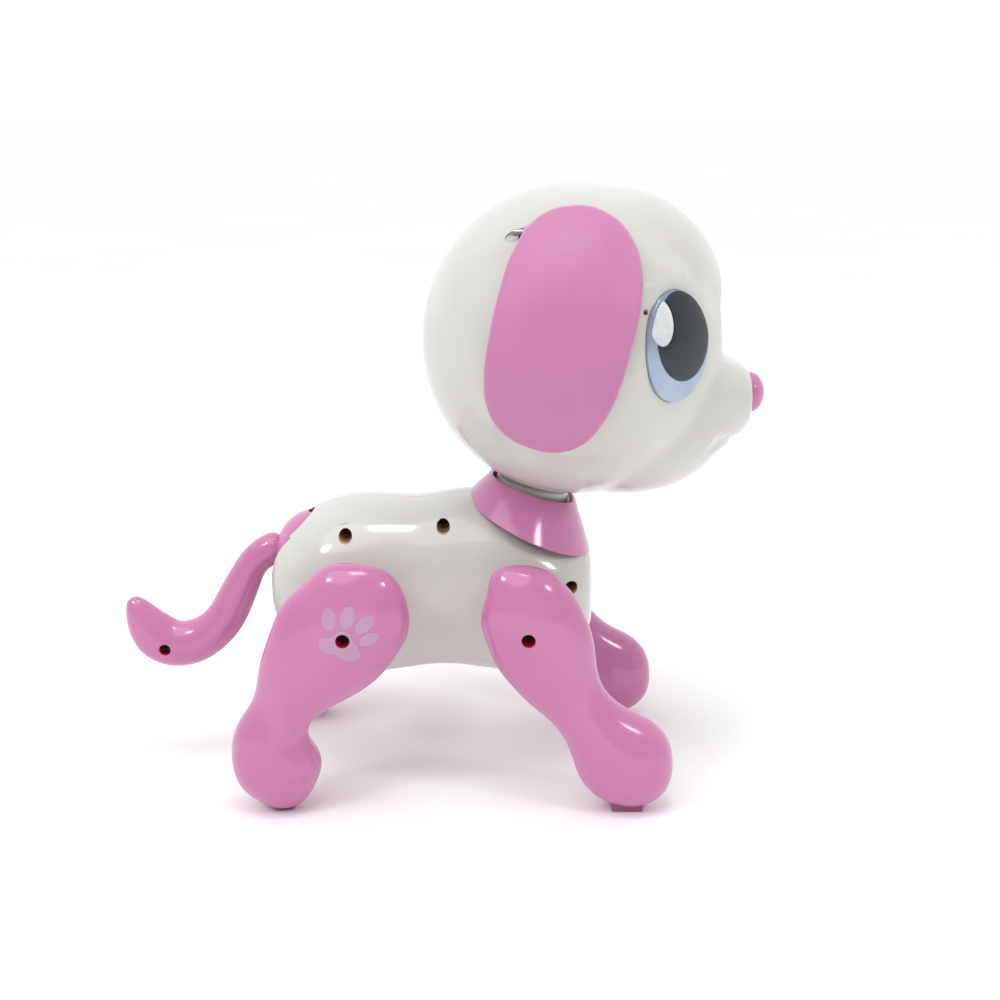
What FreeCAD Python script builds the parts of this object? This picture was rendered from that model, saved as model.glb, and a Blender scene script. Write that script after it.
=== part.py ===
"""Walking robot puppy toy: moulded shells, geared walking legs, turning head, flapping ears, wagging tail.

Frame: millimetres, +X to the nose, +Y to the puppy's left, +Z up, feet on Z = 0,
origin under the middle of the toy's length and width.
"""
import FreeCAD, Part
import math
import os
from FreeCAD import Vector

os.makedirs("parts", exist_ok=True)

# ---------------------------------------------------------------- driving dimensions
WALL = 2.0                 # moulded wall of every shell
FIT = 0.06                 # radial running clearance of a shaft in its hole
GAP = 0.35                 # air between a moving skin and the skin beside it

HEAD = Vector(43.2, 0, 147.0)
HEAD_R = 49.5
NECK_TILT = 14.0           # the neck leans forward by this angle
HIP_Z = 60.3
FRONT_HIP_X = 29.0
REAR_HIP_X = -28.3
LEG_Y = 39.0               # middle plane of each leg
RUMP_BALL = Vector(-40.7, 0, 74.9)
RUMP_BALL_R = 14.3

# body sections: place along X, lowest z, highest z, half width, squareness
BODY_RINGS = [
    (-56.0, 58.5, 71.5, 7.0, 2.2),
    (-54.4, 52.0, 77.5, 14.0, 2.3),
    (-50.0, 44.8, 83.0, 20.0, 2.4),
    (-42.0, 38.4, 89.2, 24.6, 2.4),
    (-32.0, 35.2, 93.2, 27.0, 2.4),
    (-20.0, 34.6, 94.0, 27.0, 2.4),
    (-6.0, 36.4, 93.5, 25.4, 2.4),
    (6.0, 37.0, 95.2, 25.4, 2.5),
    (18.0, 36.0, 94.0, 26.8, 2.7),
    (30.0, 36.2, 88.2, 27.2, 2.9),
    (40.0, 39.0, 83.2, 25.4, 2.9),
    (47.0, 43.5, 79.4, 20.8, 2.7),
    (50.0, 49.0, 76.0, 14.8, 2.5),
    (51.0, 54.5, 71.0, 8.0, 2.3),
]

# leg sections: centre x, centre z, half width in the leg's plane, half depth across it
FRONT_LEG_RINGS = [
    (18.4, 79.1, 2.0, 1.6),
    (22.0, 76.3, 8.3, 5.4),
    (25.5, 71.5, 13.5, 8.2),
    (29.6, 64.5, 15.7, 9.5),
    (33.0, 56.9, 16.1, 9.5),
    (36.7, 49.2, 14.7, 9.0),
    (40.6, 41.6, 12.0, 8.2),
    (45.5, 34.7, 10.0, 7.8),
    (51.2, 27.3, 11.3, 8.8),
    (56.5, 20.7, 14.6, 10.0),
    (61.6, 15.5, 15.2, 10.4),
    (66.4, 11.7, 13.2, 9.6),
    (70.5, 8.7, 9.1, 7.2),
    (73.6, 6.7, 3.1, 2.8),
]
REAR_LEG_RINGS = [
    (-14.6, 79.0, 2.0, 1.6),
    (-16.7, 76.2, 9.8, 5.4),
    (-21.0, 71.3, 16.3, 8.4),
    (-26.2, 64.4, 18.4, 9.5),
    (-33.2, 56.7, 19.0, 9.6),
    (-39.6, 48.6, 16.3, 9.2),
    (-45.3, 41.0, 12.7, 8.4),
    (-49.2, 33.4, 10.2, 7.8),
    (-52.4, 26.2, 11.9, 9.0),
    (-52.1, 18.6, 13.9, 10.2),
    (-50.4, 11.4, 13.5, 10.2),
    (-49.0, 5.7, 9.8, 7.8),
    (-48.4, 2.3, 6.2, 5.2),
    (-48.2, 1.0, 3.0, 2.8),
]
TAIL_RINGS = [
    (-52.0, 77.4, 5.2, 4.8),
    (-57.0, 75.2, 5.4, 5.0),
    (-62.0, 71.6, 5.2, 5.2),
    (-65.5, 66.0, 5.5, 5.3),
    (-68.8, 59.4, 6.1, 5.6),
    (-72.7, 52.0, 6.5, 6.0),
    (-78.1, 46.0, 7.0, 6.4),
    (-84.6, 42.4, 7.8, 6.6),
    (-91.2, 41.9, 8.4, 6.6),
    (-97.0, 44.8, 8.3, 6.2),
    (-101.0, 50.2, 6.4, 5.0),
    (-103.4, 55.2, 3.9, 3.2),
    (-104.9, 58.2, 1.6, 1.4),
]

BODY_SCREWS = [(-29.5, 85.8), (1.9, 88.3), (43.0, 69.2)]
HEAD_SCREWS = [(31.0, 166.0), (45.0, 130.0)]
TAIL_SCREW = (-93.1, 41.6)
RECESS_R = 2.2             # screw access hole
SHANK_R = 1.25             # self-tapping screw

EYE_AZIMUTH = 51.0         # the eyes look this far out from straight ahead
EYE_LIFT = 3.5
EYE_HALF_WIDTH = 13.0
EYE_HALF_HEIGHT = 17.0
EYE_FIT = 0.05             # clearance of the eye in its opening
PUPIL_HALF_WIDTH = 11.0
PUPIL_HALF_HEIGHT = 13.6
PUPIL_SHIFT = (1.5, 3.1)    # towards the nose, and up

EAR_INNER_R = 51.0
EAR_OUTER_R = 54.2
EAR_PIN_Y = 29.5
EAR_PIN_Z = 183.0

ARM = 9.0                  # hip crank arm
MODULE = 0.6               # gear tooth size
PRESSURE = math.radians(20)
BACKLASH = 0.12
DRIVE_TEETH = 40
IDLER_TEETH = 36
PINION_TEETH = 10
DRIVE = (6.0, 71.0)        # centre of the drive gear in X, Z
IDLER = (DRIVE[0] - MODULE * (DRIVE_TEETH + PINION_TEETH) / 2, DRIVE[1])
MOTOR = (IDLER[0] - MODULE * (IDLER_TEETH + PINION_TEETH) / 2, DRIVE[1])

X_AXIS = Vector(1, 0, 0)
Y_AXIS = Vector(0, 1, 0)
Z_AXIS = Vector(0, 0, 1)
ORIGIN = Vector(0, 0, 0)


# ---------------------------------------------------------------- shape helpers
def save(name, shape):
    """Write one sub-part; a group of loose solids is written as one compound."""
    shape.exportStep("parts/" + name + ".step")
    solids = shape.Solids
    print(name, len(solids), round(sum(s.Volume for s in solids), 1), shape.isValid())


def one_solid(shape):
    """The largest solid of a boolean result, without splinters."""
    return max(shape.Solids, key=lambda s: s.Volume)


def box(low, high):
    """Box between two corners."""
    size = [b - a for a, b in zip(low, high)]
    return Part.makeBox(*size, Vector(*low))


def rod_y(x, z, radius, y_from, y_to):
    """Cylinder along Y."""
    return Part.makeCylinder(radius, y_to - y_from, Vector(x, y_from, z), Y_AXIS)


def mirrored(shape):
    """The same piece on the puppy's other side."""
    return shape.mirror(ORIGIN, Y_AXIS)


def closed_spline(points):
    """Smooth closed wire through the points."""
    curve = Part.BSplineCurve()
    curve.interpolate(Points=points, PeriodicFlag=True)
    return Part.Wire(curve.toShape())


def ellipsoid(centre, rx, ry, rz):
    """Ellipsoid with its axes along X, Y and Z."""
    matrix = FreeCAD.Matrix()
    matrix.scale(rx, ry, rz)
    matrix.move(centre)
    return Part.makeSphere(1.0).transformGeometry(matrix)


def power_ring(x, low, high, half_width, power, inset=0.0):
    """Rounded-box section of the body in the plane at x."""
    middle = (low + high) / 2
    half_height = (high - low) / 2 - inset
    width = half_width - inset
    points = []
    count = 24
    for step in range(count):
        angle = 2 * math.pi * step / count
        c = math.cos(angle)
        s = math.sin(angle)
        y = math.copysign(abs(c) ** (2 / power), c) * width
        z = math.copysign(abs(s) ** (2 / power), s) * half_height
        points.append(Vector(x, y, middle + z))
    return closed_spline(points)


def body_form(inset=0.0):
    """The body's whole outer form, or the same form set in by a wall."""
    first = BODY_RINGS[0][0]
    last = BODY_RINGS[-1][0]
    middle = (first + last) / 2
    squeeze = 1 - 2 * inset / (last - first)
    wires = []
    for x, low, high, half_width, power in BODY_RINGS:
        wires.append(power_ring(middle + (x - middle) * squeeze, low, high, half_width, power, inset))
    return Part.makeLoft(wires, True, False)


def spine_normals(rings):
    """Unit normal in the XZ plane at each ring, from the rings on either side of it."""
    normals = []
    for index in range(len(rings)):
        before = rings[max(index - 1, 0)]
        after = rings[min(index + 1, len(rings) - 1)]
        dx = after[0] - before[0]
        dz = after[1] - before[1]
        length = math.hypot(dx, dz)
        normals.append(Vector(-dz / length, 0, dx / length))
    return normals


def limb_form(rings, y, inset=0.0):
    """Limb lofted through oval rings strung along its curved middle line."""
    wires = []
    for ring, normal in zip(rings, spine_normals(rings)):
        x, z, half_width, half_depth = ring
        if inset and half_depth < inset + 2:
            continue
        points = []
        count = 16
        for step in range(count):
            angle = 2 * math.pi * step / count
            across = normal * ((half_width - inset) * math.cos(angle))
            depth = Y_AXIS * ((half_depth - inset) * math.sin(angle))
            points.append(Vector(x, y, z) + across + depth)
        wires.append(closed_spline(points))
    return Part.makeLoft(wires, True, False)


def side_half(shape, y_from, y_to):
    """The slice of a shape between two Y planes."""
    reach = 300
    return shape.common(box((-reach, y_from, -reach), (reach, y_to, reach)))


def screw(x, z, y_head, length, head_r=2.0, head_h=1.6):
    """Cross-head self-tapping screw along +Y, with its head's underside at y_head."""
    head = rod_y(x, z, head_r, y_head - head_h, y_head)
    shank = rod_y(x, z, SHANK_R, y_head, y_head + length)
    slot_depth = 0.9
    slot_r = 1.2
    slot_w = 0.25
    y0 = y_head - head_h
    cross = box((x - slot_r, y0, z - slot_w), (x + slot_r, y0 + slot_depth, z + slot_w))
    cross = cross.fuse(box((x - slot_w, y0, z - slot_r), (x + slot_w, y0 + slot_depth, z + slot_r)))
    return head.fuse(shank).cut(cross)


def involute(angle):
    """Involute function of a pressure angle."""
    return math.tan(angle) - angle


def gear(teeth, x, z, y_from, y_to, turn):
    """Spur gear along Y; one tooth points to the angle `turn` (degrees, from +X towards +Z)."""
    pitch_r = MODULE * teeth / 2
    base_r = pitch_r * math.cos(PRESSURE)
    tip_r = pitch_r + MODULE
    root_r = pitch_r - 1.25 * MODULE
    half = math.pi / (2 * teeth) - BACKLASH / (2 * pitch_r)
    start_r = max(base_r, root_r) * 1.001
    flank = []
    steps = 4
    for step in range(steps + 1):
        r = start_r + (tip_r - start_r) * step / steps
        flank.append((r, half + involute(PRESSURE) - involute(math.acos(base_r / r))))

    def point(r, angle):
        return Vector(x + r * math.cos(angle), y_from, z + r * math.sin(angle))

    outline = []
    for tooth in range(teeth):
        middle = math.radians(turn) + 2 * math.pi * tooth / teeth
        low_angle = flank[0][1]
        outline.append(point(root_r, middle - low_angle - 0.02))
        outline += [point(r, middle - a) for r, a in flank]
        outline += [point(r, middle + a) for r, a in reversed(flank)]
        outline.append(point(root_r, middle + low_angle + 0.02))
    outline.append(outline[0])
    face = Part.Face(Part.makePolygon(outline))
    return face.extrude(Vector(0, y_to - y_from, 0))


# ---------------------------------------------------------------- whole forms shared by several pieces
BODY_OUT = body_form()
BODY_IN = body_form(WALL)


def neck_rod(radius, d_from, d_to):
    """Cylinder along the neck's axis, between two distances from the head's centre."""
    tilt = math.radians(NECK_TILT)
    axis = Vector(math.sin(tilt), 0, math.cos(tilt))
    return Part.makeCylinder(radius, d_to - d_from, HEAD + axis * d_from, axis)


def muzzle_form(inset=0.0):
    """Short muzzle lofted forward out of the head to its flat nose facet."""
    rings = [
        (74.0, 127.0, 21.5, 28.0),
        (84.0, 127.4, 20.0, 25.5),
        (92.0, 127.5, 16.4, 21.0),
        (98.2, 126.8, 12.6, 16.0),
        (101.0, 127.2, 9.4, 12.2),
        (101.8, 127.3, 7.8, 10.4),
    ]
    wires = []
    for x, z, half_height, half_width in rings:
        ellipse = []
        for step in range(16):
            angle = 2 * math.pi * step / 16
            y = (half_width - inset) * math.cos(angle)
            ellipse.append(Vector(x - inset, y, z + (half_height - inset) * math.sin(angle)))
        wires.append(closed_spline(ellipse))
    return Part.makeLoft(wires, True, False)


def head_form(inset=0.0):
    """Ball head with its full forehead, jaw and muzzle."""
    ball = Part.makeSphere(HEAD_R - inset, HEAD)
    jaw = ellipsoid(Vector(65.0, 0, 120.0), 30.0 - inset, 29.0 - inset, 24.0 - inset)
    forehead = Part.makeSphere(35.5 - inset, Vector(55.2, 0, 159.4))
    return ball.fuse(forehead).fuse(jaw).fuse(muzzle_form(inset))


HEAD_OUT = head_form()
HEAD_IN = head_form(WALL)


def eye_frame(side):
    """Centre line of an eye: unit vectors outwards, sideways and up. side is -1 right, +1 left."""
    azimuth = math.radians(EYE_AZIMUTH)
    lift = math.radians(EYE_LIFT)
    out = Vector(math.cos(azimuth) * math.cos(lift), side * math.sin(azimuth) * math.cos(lift), math.sin(lift))
    across = Z_AXIS.cross(out).normalize()
    up = out.cross(across)
    return out, across, up


def eye_prism(side, half_width, half_height, shift=(0.0, 0.0)):
    """Oval prism along an eye's axis, from inside the head to well outside it."""
    out, across, up = eye_frame(side)
    start = HEAD + out * 30 + across * shift[0] + up * shift[1]
    points = []
    for step in range(24):
        angle = 2 * math.pi * step / 24
        points.append(start + across * (half_width * math.cos(angle)) + up * (half_height * math.sin(angle)))
    return Part.Face(closed_spline(points)).extrude(out * 30)


def head_shell_between(inner_r, outer_r):
    """Spherical skin about the head's centre."""
    return Part.makeSphere(outer_r, HEAD).cut(Part.makeSphere(inner_r, HEAD))


# ---------------------------------------------------------------- body
BATTERY_X = (-25.0, 19.5)          # three AAA cells lie along X
CELL_R = 5.25
CELL_Z = 47.6
CELL_Y = (-11.0, 0.0, 11.0)
HATCH = (-33.5, 23.5, 16.0)        # belly hatch: rear x, front x, half width
HATCH_SCREW_X = HATCH[0] + 3.3
BOX_FLOOR = 45.4
BOX_ROOF = 54.3
SWITCH_X = -41.0
SWITCH_TRAVEL = 4.0
GRILLE_HOLES = [(x, y) for x in (30.0, 35.0, 40.0) for y in (-6.0, -2.2, 2.2, 6.0)]
TAIL_POST_R = 3.0
HUB_WIDTH = 11.0


def hatch_block(clearance=0.0, roof=46.0):
    """Space of the belly hatch, up to a roof height."""
    rear, front, half = HATCH
    return box((rear - clearance, -half - clearance, 20), (front + clearance, half + clearance, roof))


def body_halves():
    """Two hollow body shells split on the middle plane, with bosses, bearings and openings."""
    skin = BODY_OUT.cut(BODY_IN)
    webs = box((-56, -5, 50), (-35.5, 5, 54)).common(BODY_OUT)
    skin = skin.fuse(webs)
    skin = skin.cut(hatch_block(0.2))
    ball_space = Part.makeSphere(RUMP_BALL_R + GAP, RUMP_BALL)
    skin = skin.cut(ball_space.common(box((-60, -30, 60), (-20, 30, 100))))
    skin = skin.cut(box((-60, -HUB_WIDTH, 69.2), (-44, HUB_WIDTH, 82.5)))
    skin = skin.cut(Part.makeCylinder(TAIL_POST_R, 30, Vector(RUMP_BALL.x, 0, 49)))
    skin = skin.cut(neck_rod(7.0 + FIT, -80, -40))
    skin = skin.cut(box((SWITCH_X - 2.3, -1.7, 30), (SWITCH_X + 2.3 + SWITCH_TRAVEL, 1.7, 44)))
    for x, y in GRILLE_HOLES:
        skin = skin.cut(Part.makeCylinder(0.9, 30, Vector(x, y, 26)))
    for x in (FRONT_HIP_X, REAR_HIP_X):
        for side in (-1, 1):
            ends = sorted((side * 24.0, side * 28.8))
            skin = skin.fuse(rod_y(x, HIP_Z, 7.0, *ends))
            ends = sorted((side * 20.0, side * 35.0))
            skin = skin.cut(rod_y(x, HIP_Z, 4.0 + FIT, *ends))
    right = side_half(skin, -40, 0)
    left = side_half(skin, 0, 40)
    for x, z in BODY_SCREWS:
        right = right.fuse(rod_y(x, z, 3.6, -40, 0).common(BODY_OUT))
        left = left.fuse(rod_y(x, z, 3.6, 0, 40).common(BODY_OUT))
        right = right.cut(rod_y(x, z, RECESS_R, -40, -6)).cut(rod_y(x, z, 1.35, -7, 1))
        left = left.cut(rod_y(x, z, 1.3, -1, 9))
    return one_solid(right), one_solid(left)


def belly_hatch():
    """Curved battery cover that closes the belly."""
    plate = BODY_OUT.cut(BODY_IN).common(hatch_block(roof=45.0))
    hole_x = HATCH_SCREW_X
    plate = plate.fuse(Part.makeCylinder(3.0, 6.0, Vector(hole_x, 0, 35.6)).cut(
        box((-60, -40, 0), (HATCH[0], 40, 60))))
    plate = plate.cut(Part.makeCylinder(1.4, 20, Vector(hole_x, 0, 30)))
    plate = plate.cut(Part.makeCylinder(2.2, 4.0, Vector(hole_x, 0, 33.0)))
    return one_solid(plate)


def hatch_screw():
    """Captive screw that holds the battery hatch."""
    hole_x = HATCH_SCREW_X
    head = Part.makeCylinder(2.0, 1.5, Vector(hole_x, 0, 35.4))
    shank = Part.makeCylinder(SHANK_R, 9.0, Vector(hole_x, 0, 36.9))
    slot = box((hole_x - 1.2, -0.25, 35.4), (hole_x + 1.2, 0.25, 36.2))
    return head.fuse(shank).cut(slot)


def battery_box():
    """Tray over the cells: roof, two side walls and two end walls."""
    rear = BATTERY_X[0] - 3.5
    front = BATTERY_X[1] + 3.5
    outer = box((rear, -17.1, BOX_FLOOR), (front, 17.1, BOX_ROOF))
    inner = box((rear + 1.4, -16.3, 40.0), (front - 1.4, 16.3, BOX_ROOF - 1.3))
    tray = outer.cut(inner)
    lug = box((HATCH_SCREW_X - 2.6, -3.0, 42.0), (rear + 1.4, 3.0, BOX_ROOF))
    return one_solid(tray.fuse(lug).cut(Part.makeCylinder(1.3, 9.0, Vector(HATCH_SCREW_X, 0, 38.0))))


def battery_cell(y, forward):
    """AAA cell with its raised positive end."""
    rear, front = BATTERY_X
    length = front - rear
    body = Part.makeCylinder(CELL_R, length - 1.0, Vector(rear if forward else rear + 1.0, y, CELL_Z), X_AXIS)
    tip = front - 1.0 if forward else rear
    return body.fuse(Part.makeCylinder(1.9, 1.0, Vector(tip, y, CELL_Z), X_AXIS))


def battery_contacts():
    """Spring-steel contact plates at both ends of the cells."""
    rear, front = BATTERY_X
    plates = []
    for y in CELL_Y:
        plates.append(box((rear - 2.1, y - 4.2, 45.4), (rear - 1.7, y + 4.2, 52.4)))
        plates.append(box((front + 1.7, y - 4.2, 45.4), (front + 2.1, y + 4.2, 52.4)))
    return plates


def battery_springs():
    """Conical coil springs that press on the flat end of each cell."""
    rear, front = BATTERY_X
    springs = []
    wire_r = 0.28
    for index, y in enumerate(CELL_Y):
        at_rear = index % 2 == 0
        start = rear - 0.36 if at_rear else front + 0.36
        step = -0.56 if at_rear else 0.56
        coils = []
        for turn in range(3):
            centre = Vector(start + step * turn, y, CELL_Z)
            coils.append(Part.makeTorus(2.6 + 0.2 * turn, wire_r, centre, X_AXIS))
        joined = coils[0]
        for coil in coils[1:]:
            joined = joined.fuse(coil)
        springs += joined.Solids
    return springs


def collar():
    """Cone-shaped collar that stands on the shoulders round the neck."""
    def circle(x, z, radius, tilt):
        angle = math.radians(tilt)
        axis = Vector(math.sin(angle), 0, math.cos(angle))
        return Part.Wire(Part.makeCircle(radius, Vector(x, 0, z), axis))
    outer = Part.makeLoft([circle(28.8, 83.8, 24.8, 27.0), circle(29.7, 99.4, 15.7, 13.0)], True, True)
    inner = Part.makeLoft([circle(28.7, 82.7, 23.4, 27.0), circle(29.72, 100.4, 13.5, 13.0)], True, True)
    return one_solid(outer.cut(inner).cut(BODY_OUT))


def speaker():
    """Small round speaker: basket and paper cone."""
    centre = Vector(35.0, 0, 44.2)
    basket = Part.makeCylinder(9.0, 3.0, centre).cut(Part.makeCylinder(8.0, 1.6, centre))
    magnet = Part.makeCylinder(5.0, 2.6, centre + Vector(0, 0, 3.0))
    cone = Part.makeCone(7.8, 3.0, 1.4, centre + Vector(0, 0, 0.1))
    return [basket.fuse(magnet), cone]


def circuit_board():
    """Main board and the packages soldered to it."""
    x = 23.0
    board = box((x, -15, 56.5), (x + 1.6, 15, 77))
    parts = [
        box((x + 1.6, -6, 62), (x + 3.2, 4, 70)),
        box((x + 1.6, -13, 58), (x + 5.6, -7.5, 66)),
        Part.makeCylinder(2.4, 6.0, Vector(x + 1.6, 9.5, 72), X_AXIS),
        Part.makeCylinder(2.4, 6.0, Vector(x + 1.6, 9.5, 64), X_AXIS),
    ]
    return [board] + parts


def power_switch():
    """Slide switch: its case inside the belly and the knob that shows through the slot."""
    case = box((SWITCH_X - 4, -4, 44.2), (SWITCH_X + 4 + SWITCH_TRAVEL, 4, 48.6))
    case = case.cut(box((SWITCH_X - 2.2, -1.3, 44), (SWITCH_X + 2.2 + SWITCH_TRAVEL, 1.3, 46.4)))
    knob = box((SWITCH_X - 2, -1.4, 37.6), (SWITCH_X + 2, 1.4, 44.0))
    knob = knob.fuse(box((SWITCH_X - 2, -1.1, 44.0), (SWITCH_X + 2, 1.1, 46.0)))
    return case, knob


# ---------------------------------------------------------------- walking drive
def gearbox_plate(y_from, y_to):
    """Flat side plate with the axle holes."""
    plate = box((IDLER[0] - 4.4, y_from, DRIVE[1] - 14.2), (DRIVE[0] + 14.5, y_to, DRIVE[1] + 10.2))
    for x, z in (IDLER, DRIVE):
        plate = plate.cut(rod_y(x, z, 1.5 + FIT, y_from - 1, y_to + 1))
    return plate


def gearbox_posts():
    """Three spacers that hold the side plates apart."""
    places = [
        (DRIVE[0] + 12.0, DRIVE[1] - 11.0),
        (DRIVE[0] + 12.0, DRIVE[1] + 8.4),
        ((DRIVE[0] + IDLER[0]) / 2, DRIVE[1] - 12.6),
    ]
    return [rod_y(x, z, 1.4, 0.4, 12.3) for x, z in places]


def motor_can():
    """Flat-sided direct-current motor."""
    x, z = MOTOR
    can = rod_y(x, z, 10.2, -18.4, 6.4).common(box((x - 7.7, -30, z - 12), (x + 7.7, 30, z + 12)))
    nose = rod_y(x, z, 3.0, 6.4, 7.2)
    windings = rod_y(x, z, 6.6, -17.4, 5.4).cut(rod_y(x, z, 2.6, -17.4, 5.4))
    return can.fuse(nose).cut(windings).cut(rod_y(x, z, 1.0 + FIT, -10, 8))


def motor_cradle():
    """Saddle moulded on the battery tray, under and beside the motor."""
    x, z = MOTOR
    saddle = box((x - 9.0, -16, BOX_ROOF), (x + 9.0, 5, z - 3))
    return one_solid(saddle.cut(box((x - 7.75, -30, z - 9.0), (x + 7.75, 30, z + 12))).cut(
        rod_y(x, z, 10.25, -20, 8).common(box((x - 7.75, -30, z - 12), (x + 7.75, 30, z + 12)))))


def motor_pinion():
    """Pinion pressed on the motor's shaft."""
    x, z = MOTOR
    wheel = gear(PINION_TEETH, x, z, 7.6, 11.4, 180.0 / PINION_TEETH)
    return wheel.fuse(rod_y(x, z, 1.0, -8, 7.6))


def idler_gear():
    """Compound wheel: large gear driven by the motor, small pinion that drives the last gear."""
    x, z = IDLER
    large = gear(IDLER_TEETH, x, z, 8.0, 11.2, 180.0)
    small = gear(PINION_TEETH, x, z, 2.0, 8.0, 180.0 / PINION_TEETH)
    axle = rod_y(x, z, 1.5, -2.2, 14.9)
    return large.fuse(small).fuse(axle)


def drive_gear():
    """Last gear of the train, bored for the drive axle."""
    x, z = DRIVE
    wheel = gear(DRIVE_TEETH, x, z, 2.4, 6.4, 180.0)
    return wheel.cut(rod_y(x, z, 1.5, 0, 10))


def drive_axle():
    """Axle across the body with a crank disc and crank pin at each end, half a turn apart."""
    x, z = DRIVE
    axle = rod_y(x, z, 1.5, -16.4, 16.4)
    for side in (-1, 1):
        disc = sorted((side * 15.2, side * 17.2))
        pin = sorted((side * 17.2, side * 18.8))
        axle = axle.fuse(rod_y(x, z, 5.0, *disc))
        axle = axle.fuse(rod_y(x, z + side * 2.8, 1.1, *pin))
    return axle


def hip_shaft(x):
    """Right hip shaft with the crank arm inside the body."""
    shaft = rod_y(x, HIP_Z, 4.0, -36.0, -21.6)
    arm = box((x - 3, -23.8, HIP_Z), (x + 3, -21.6, HIP_Z + ARM)).fuse(rod_y(x, HIP_Z + ARM, 3.0, -23.8, -21.6))
    pin = rod_y(x, HIP_Z + ARM, 1.2, -21.6, -18.9)
    hub = rod_y(x, HIP_Z, 5.2, -23.8, -21.6)
    return shaft.fuse(arm).fuse(hub).fuse(pin).cut(rod_y(x, HIP_Z, 1.3, -37, -26))


def walk_link():
    """Right link bar that makes the rear leg swing with the front leg."""
    z = HIP_Z + ARM
    bar = box((REAR_HIP_X, -21.2, z - 2.4), (FRONT_HIP_X, -19.4, z + 2.4))
    for x in (REAR_HIP_X, FRONT_HIP_X):
        bar = bar.fuse(rod_y(x, z, 3.0, -21.2, -19.4))
    bar = bar.cut(rod_y(FRONT_HIP_X, z, 1.2 + FIT, -25, -15))
    return bar.cut(rod_y(REAR_HIP_X, z, 1.5, -25, -15))


# ---------------------------------------------------------------- legs
def leg_pieces(rings, hip_x, pad):
    """Right leg: outer half, inner half, rubber foot pad and hip screw."""
    form = limb_form(rings, -LEG_Y)
    hollow = limb_form(rings, -LEG_Y, WALL)
    shell = form.cut(hollow)
    post = rod_y(hip_x, HIP_Z, 5.6, -LEG_Y - 20, -LEG_Y + 20).common(form)
    shell = shell.fuse(post)
    outer = side_half(shell, -80, -LEG_Y)
    inner = side_half(shell, -LEG_Y, 0)
    outer = outer.cut(rod_y(hip_x, HIP_Z, RECESS_R, -80, -LEG_Y - 3.0))
    outer = outer.cut(rod_y(hip_x, HIP_Z, 1.4, -80, -LEG_Y + 1))
    inner = inner.cut(rod_y(hip_x, HIP_Z, 4.03, -36.0, 0)).cut(rod_y(hip_x, HIP_Z, 1.4, -80, -30))
    low, high, depth = pad
    sole = box((low, -LEG_Y - depth, 0.0), (high, -LEG_Y + depth, 8.0))
    sole = sole.makeChamfer(0.6, [e for e in sole.Edges if abs(e.CenterOfMass.z) < 0.01])
    sole = one_solid(sole.cut(form))
    fastener = screw(hip_x, HIP_Z, -LEG_Y - 3.0, 11.5)
    return one_solid(outer), one_solid(inner), sole, fastener


# ---------------------------------------------------------------- tail
def tail_pieces():
    """Tail halves, the hub ball they plug into, the post it turns on and the tail screw."""
    form = limb_form(TAIL_RINGS, 0.0)
    hollow = limb_form(TAIL_RINGS[1:], 0.0, 1.6)
    ball = Part.makeSphere(RUMP_BALL_R, RUMP_BALL)
    shell = form.cut(hollow).cut(Part.makeSphere(RUMP_BALL_R + 0.03, RUMP_BALL))
    x, z = TAIL_SCREW
    shell = shell.fuse(rod_y(x, z, 3.4, -20, 20).common(form))
    right = side_half(shell, -40, 0).cut(rod_y(x, z, 2.0, -40, -2.6)).cut(rod_y(x, z, 1.35, -40, 0))
    left = side_half(shell, 0, 40).cut(rod_y(x, z, 1.3, 0, 4.4))
    dome = ball.cut(Part.makeSphere(RUMP_BALL_R - 2.2, RUMP_BALL))
    dome = dome.common(box((-60, -30, 56), (-41.5, 30, 100)))
    sleeve = Part.makeCylinder(5.6, 16.5, Vector(RUMP_BALL.x, 0, 55.0))
    rib = box((-54.5, -1.6, 62.0), (RUMP_BALL.x, 1.6, 71.5)).common(ball)
    hub = dome.fuse(sleeve).fuse(rib)
    hub = hub.cut(Part.makeCylinder(TAIL_POST_R + FIT, 40, Vector(RUMP_BALL.x, 0, 45)))
    post = Part.makeCylinder(TAIL_POST_R, 22.0, Vector(RUMP_BALL.x, 0, 50.5))
    fastener = screw(x, z, -2.6, 6.4, head_r=1.8, head_h=1.4)
    return one_solid(right), one_solid(left), one_solid(hub), post, fastener


# ---------------------------------------------------------------- head
EAR_OUTLINE = [
    (42.5, 191.0), (52.0, 189.0), (59.0, 182.5), (61.9, 173.0), (61.2, 163.0), (58.6, 152.0),
    (55.4, 140.0), (51.0, 129.5), (45.0, 121.8), (38.0, 118.8), (29.0, 120.0), (20.6, 124.8),
    (16.2, 132.5), (15.3, 142.0), (16.8, 154.0), (19.8, 167.0), (24.0, 178.5), (31.0, 187.4),
]


def ear_slot():
    """Slot through the head's right side that the ear's tab goes into."""
    slot = box((24.0, -60, EAR_PIN_Z - 2.4), (46.0, 0, EAR_PIN_Z + 2.4))
    for x in (24.0, 46.0):
        slot = slot.fuse(rod_y(x, EAR_PIN_Z, 2.4, -60, 0))
    aim = math.degrees(math.atan2(EAR_PIN_Z - HEAD.z, EAR_PIN_Y))
    slot.rotate(Vector(0, -EAR_PIN_Y, EAR_PIN_Z), X_AXIS, -aim)
    radial = Part.makeSphere(56, HEAD).cut(Part.makeSphere(40, HEAD))
    return slot.common(radial).common(box((0, -60, 165), (80, -5, 210)))


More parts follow.
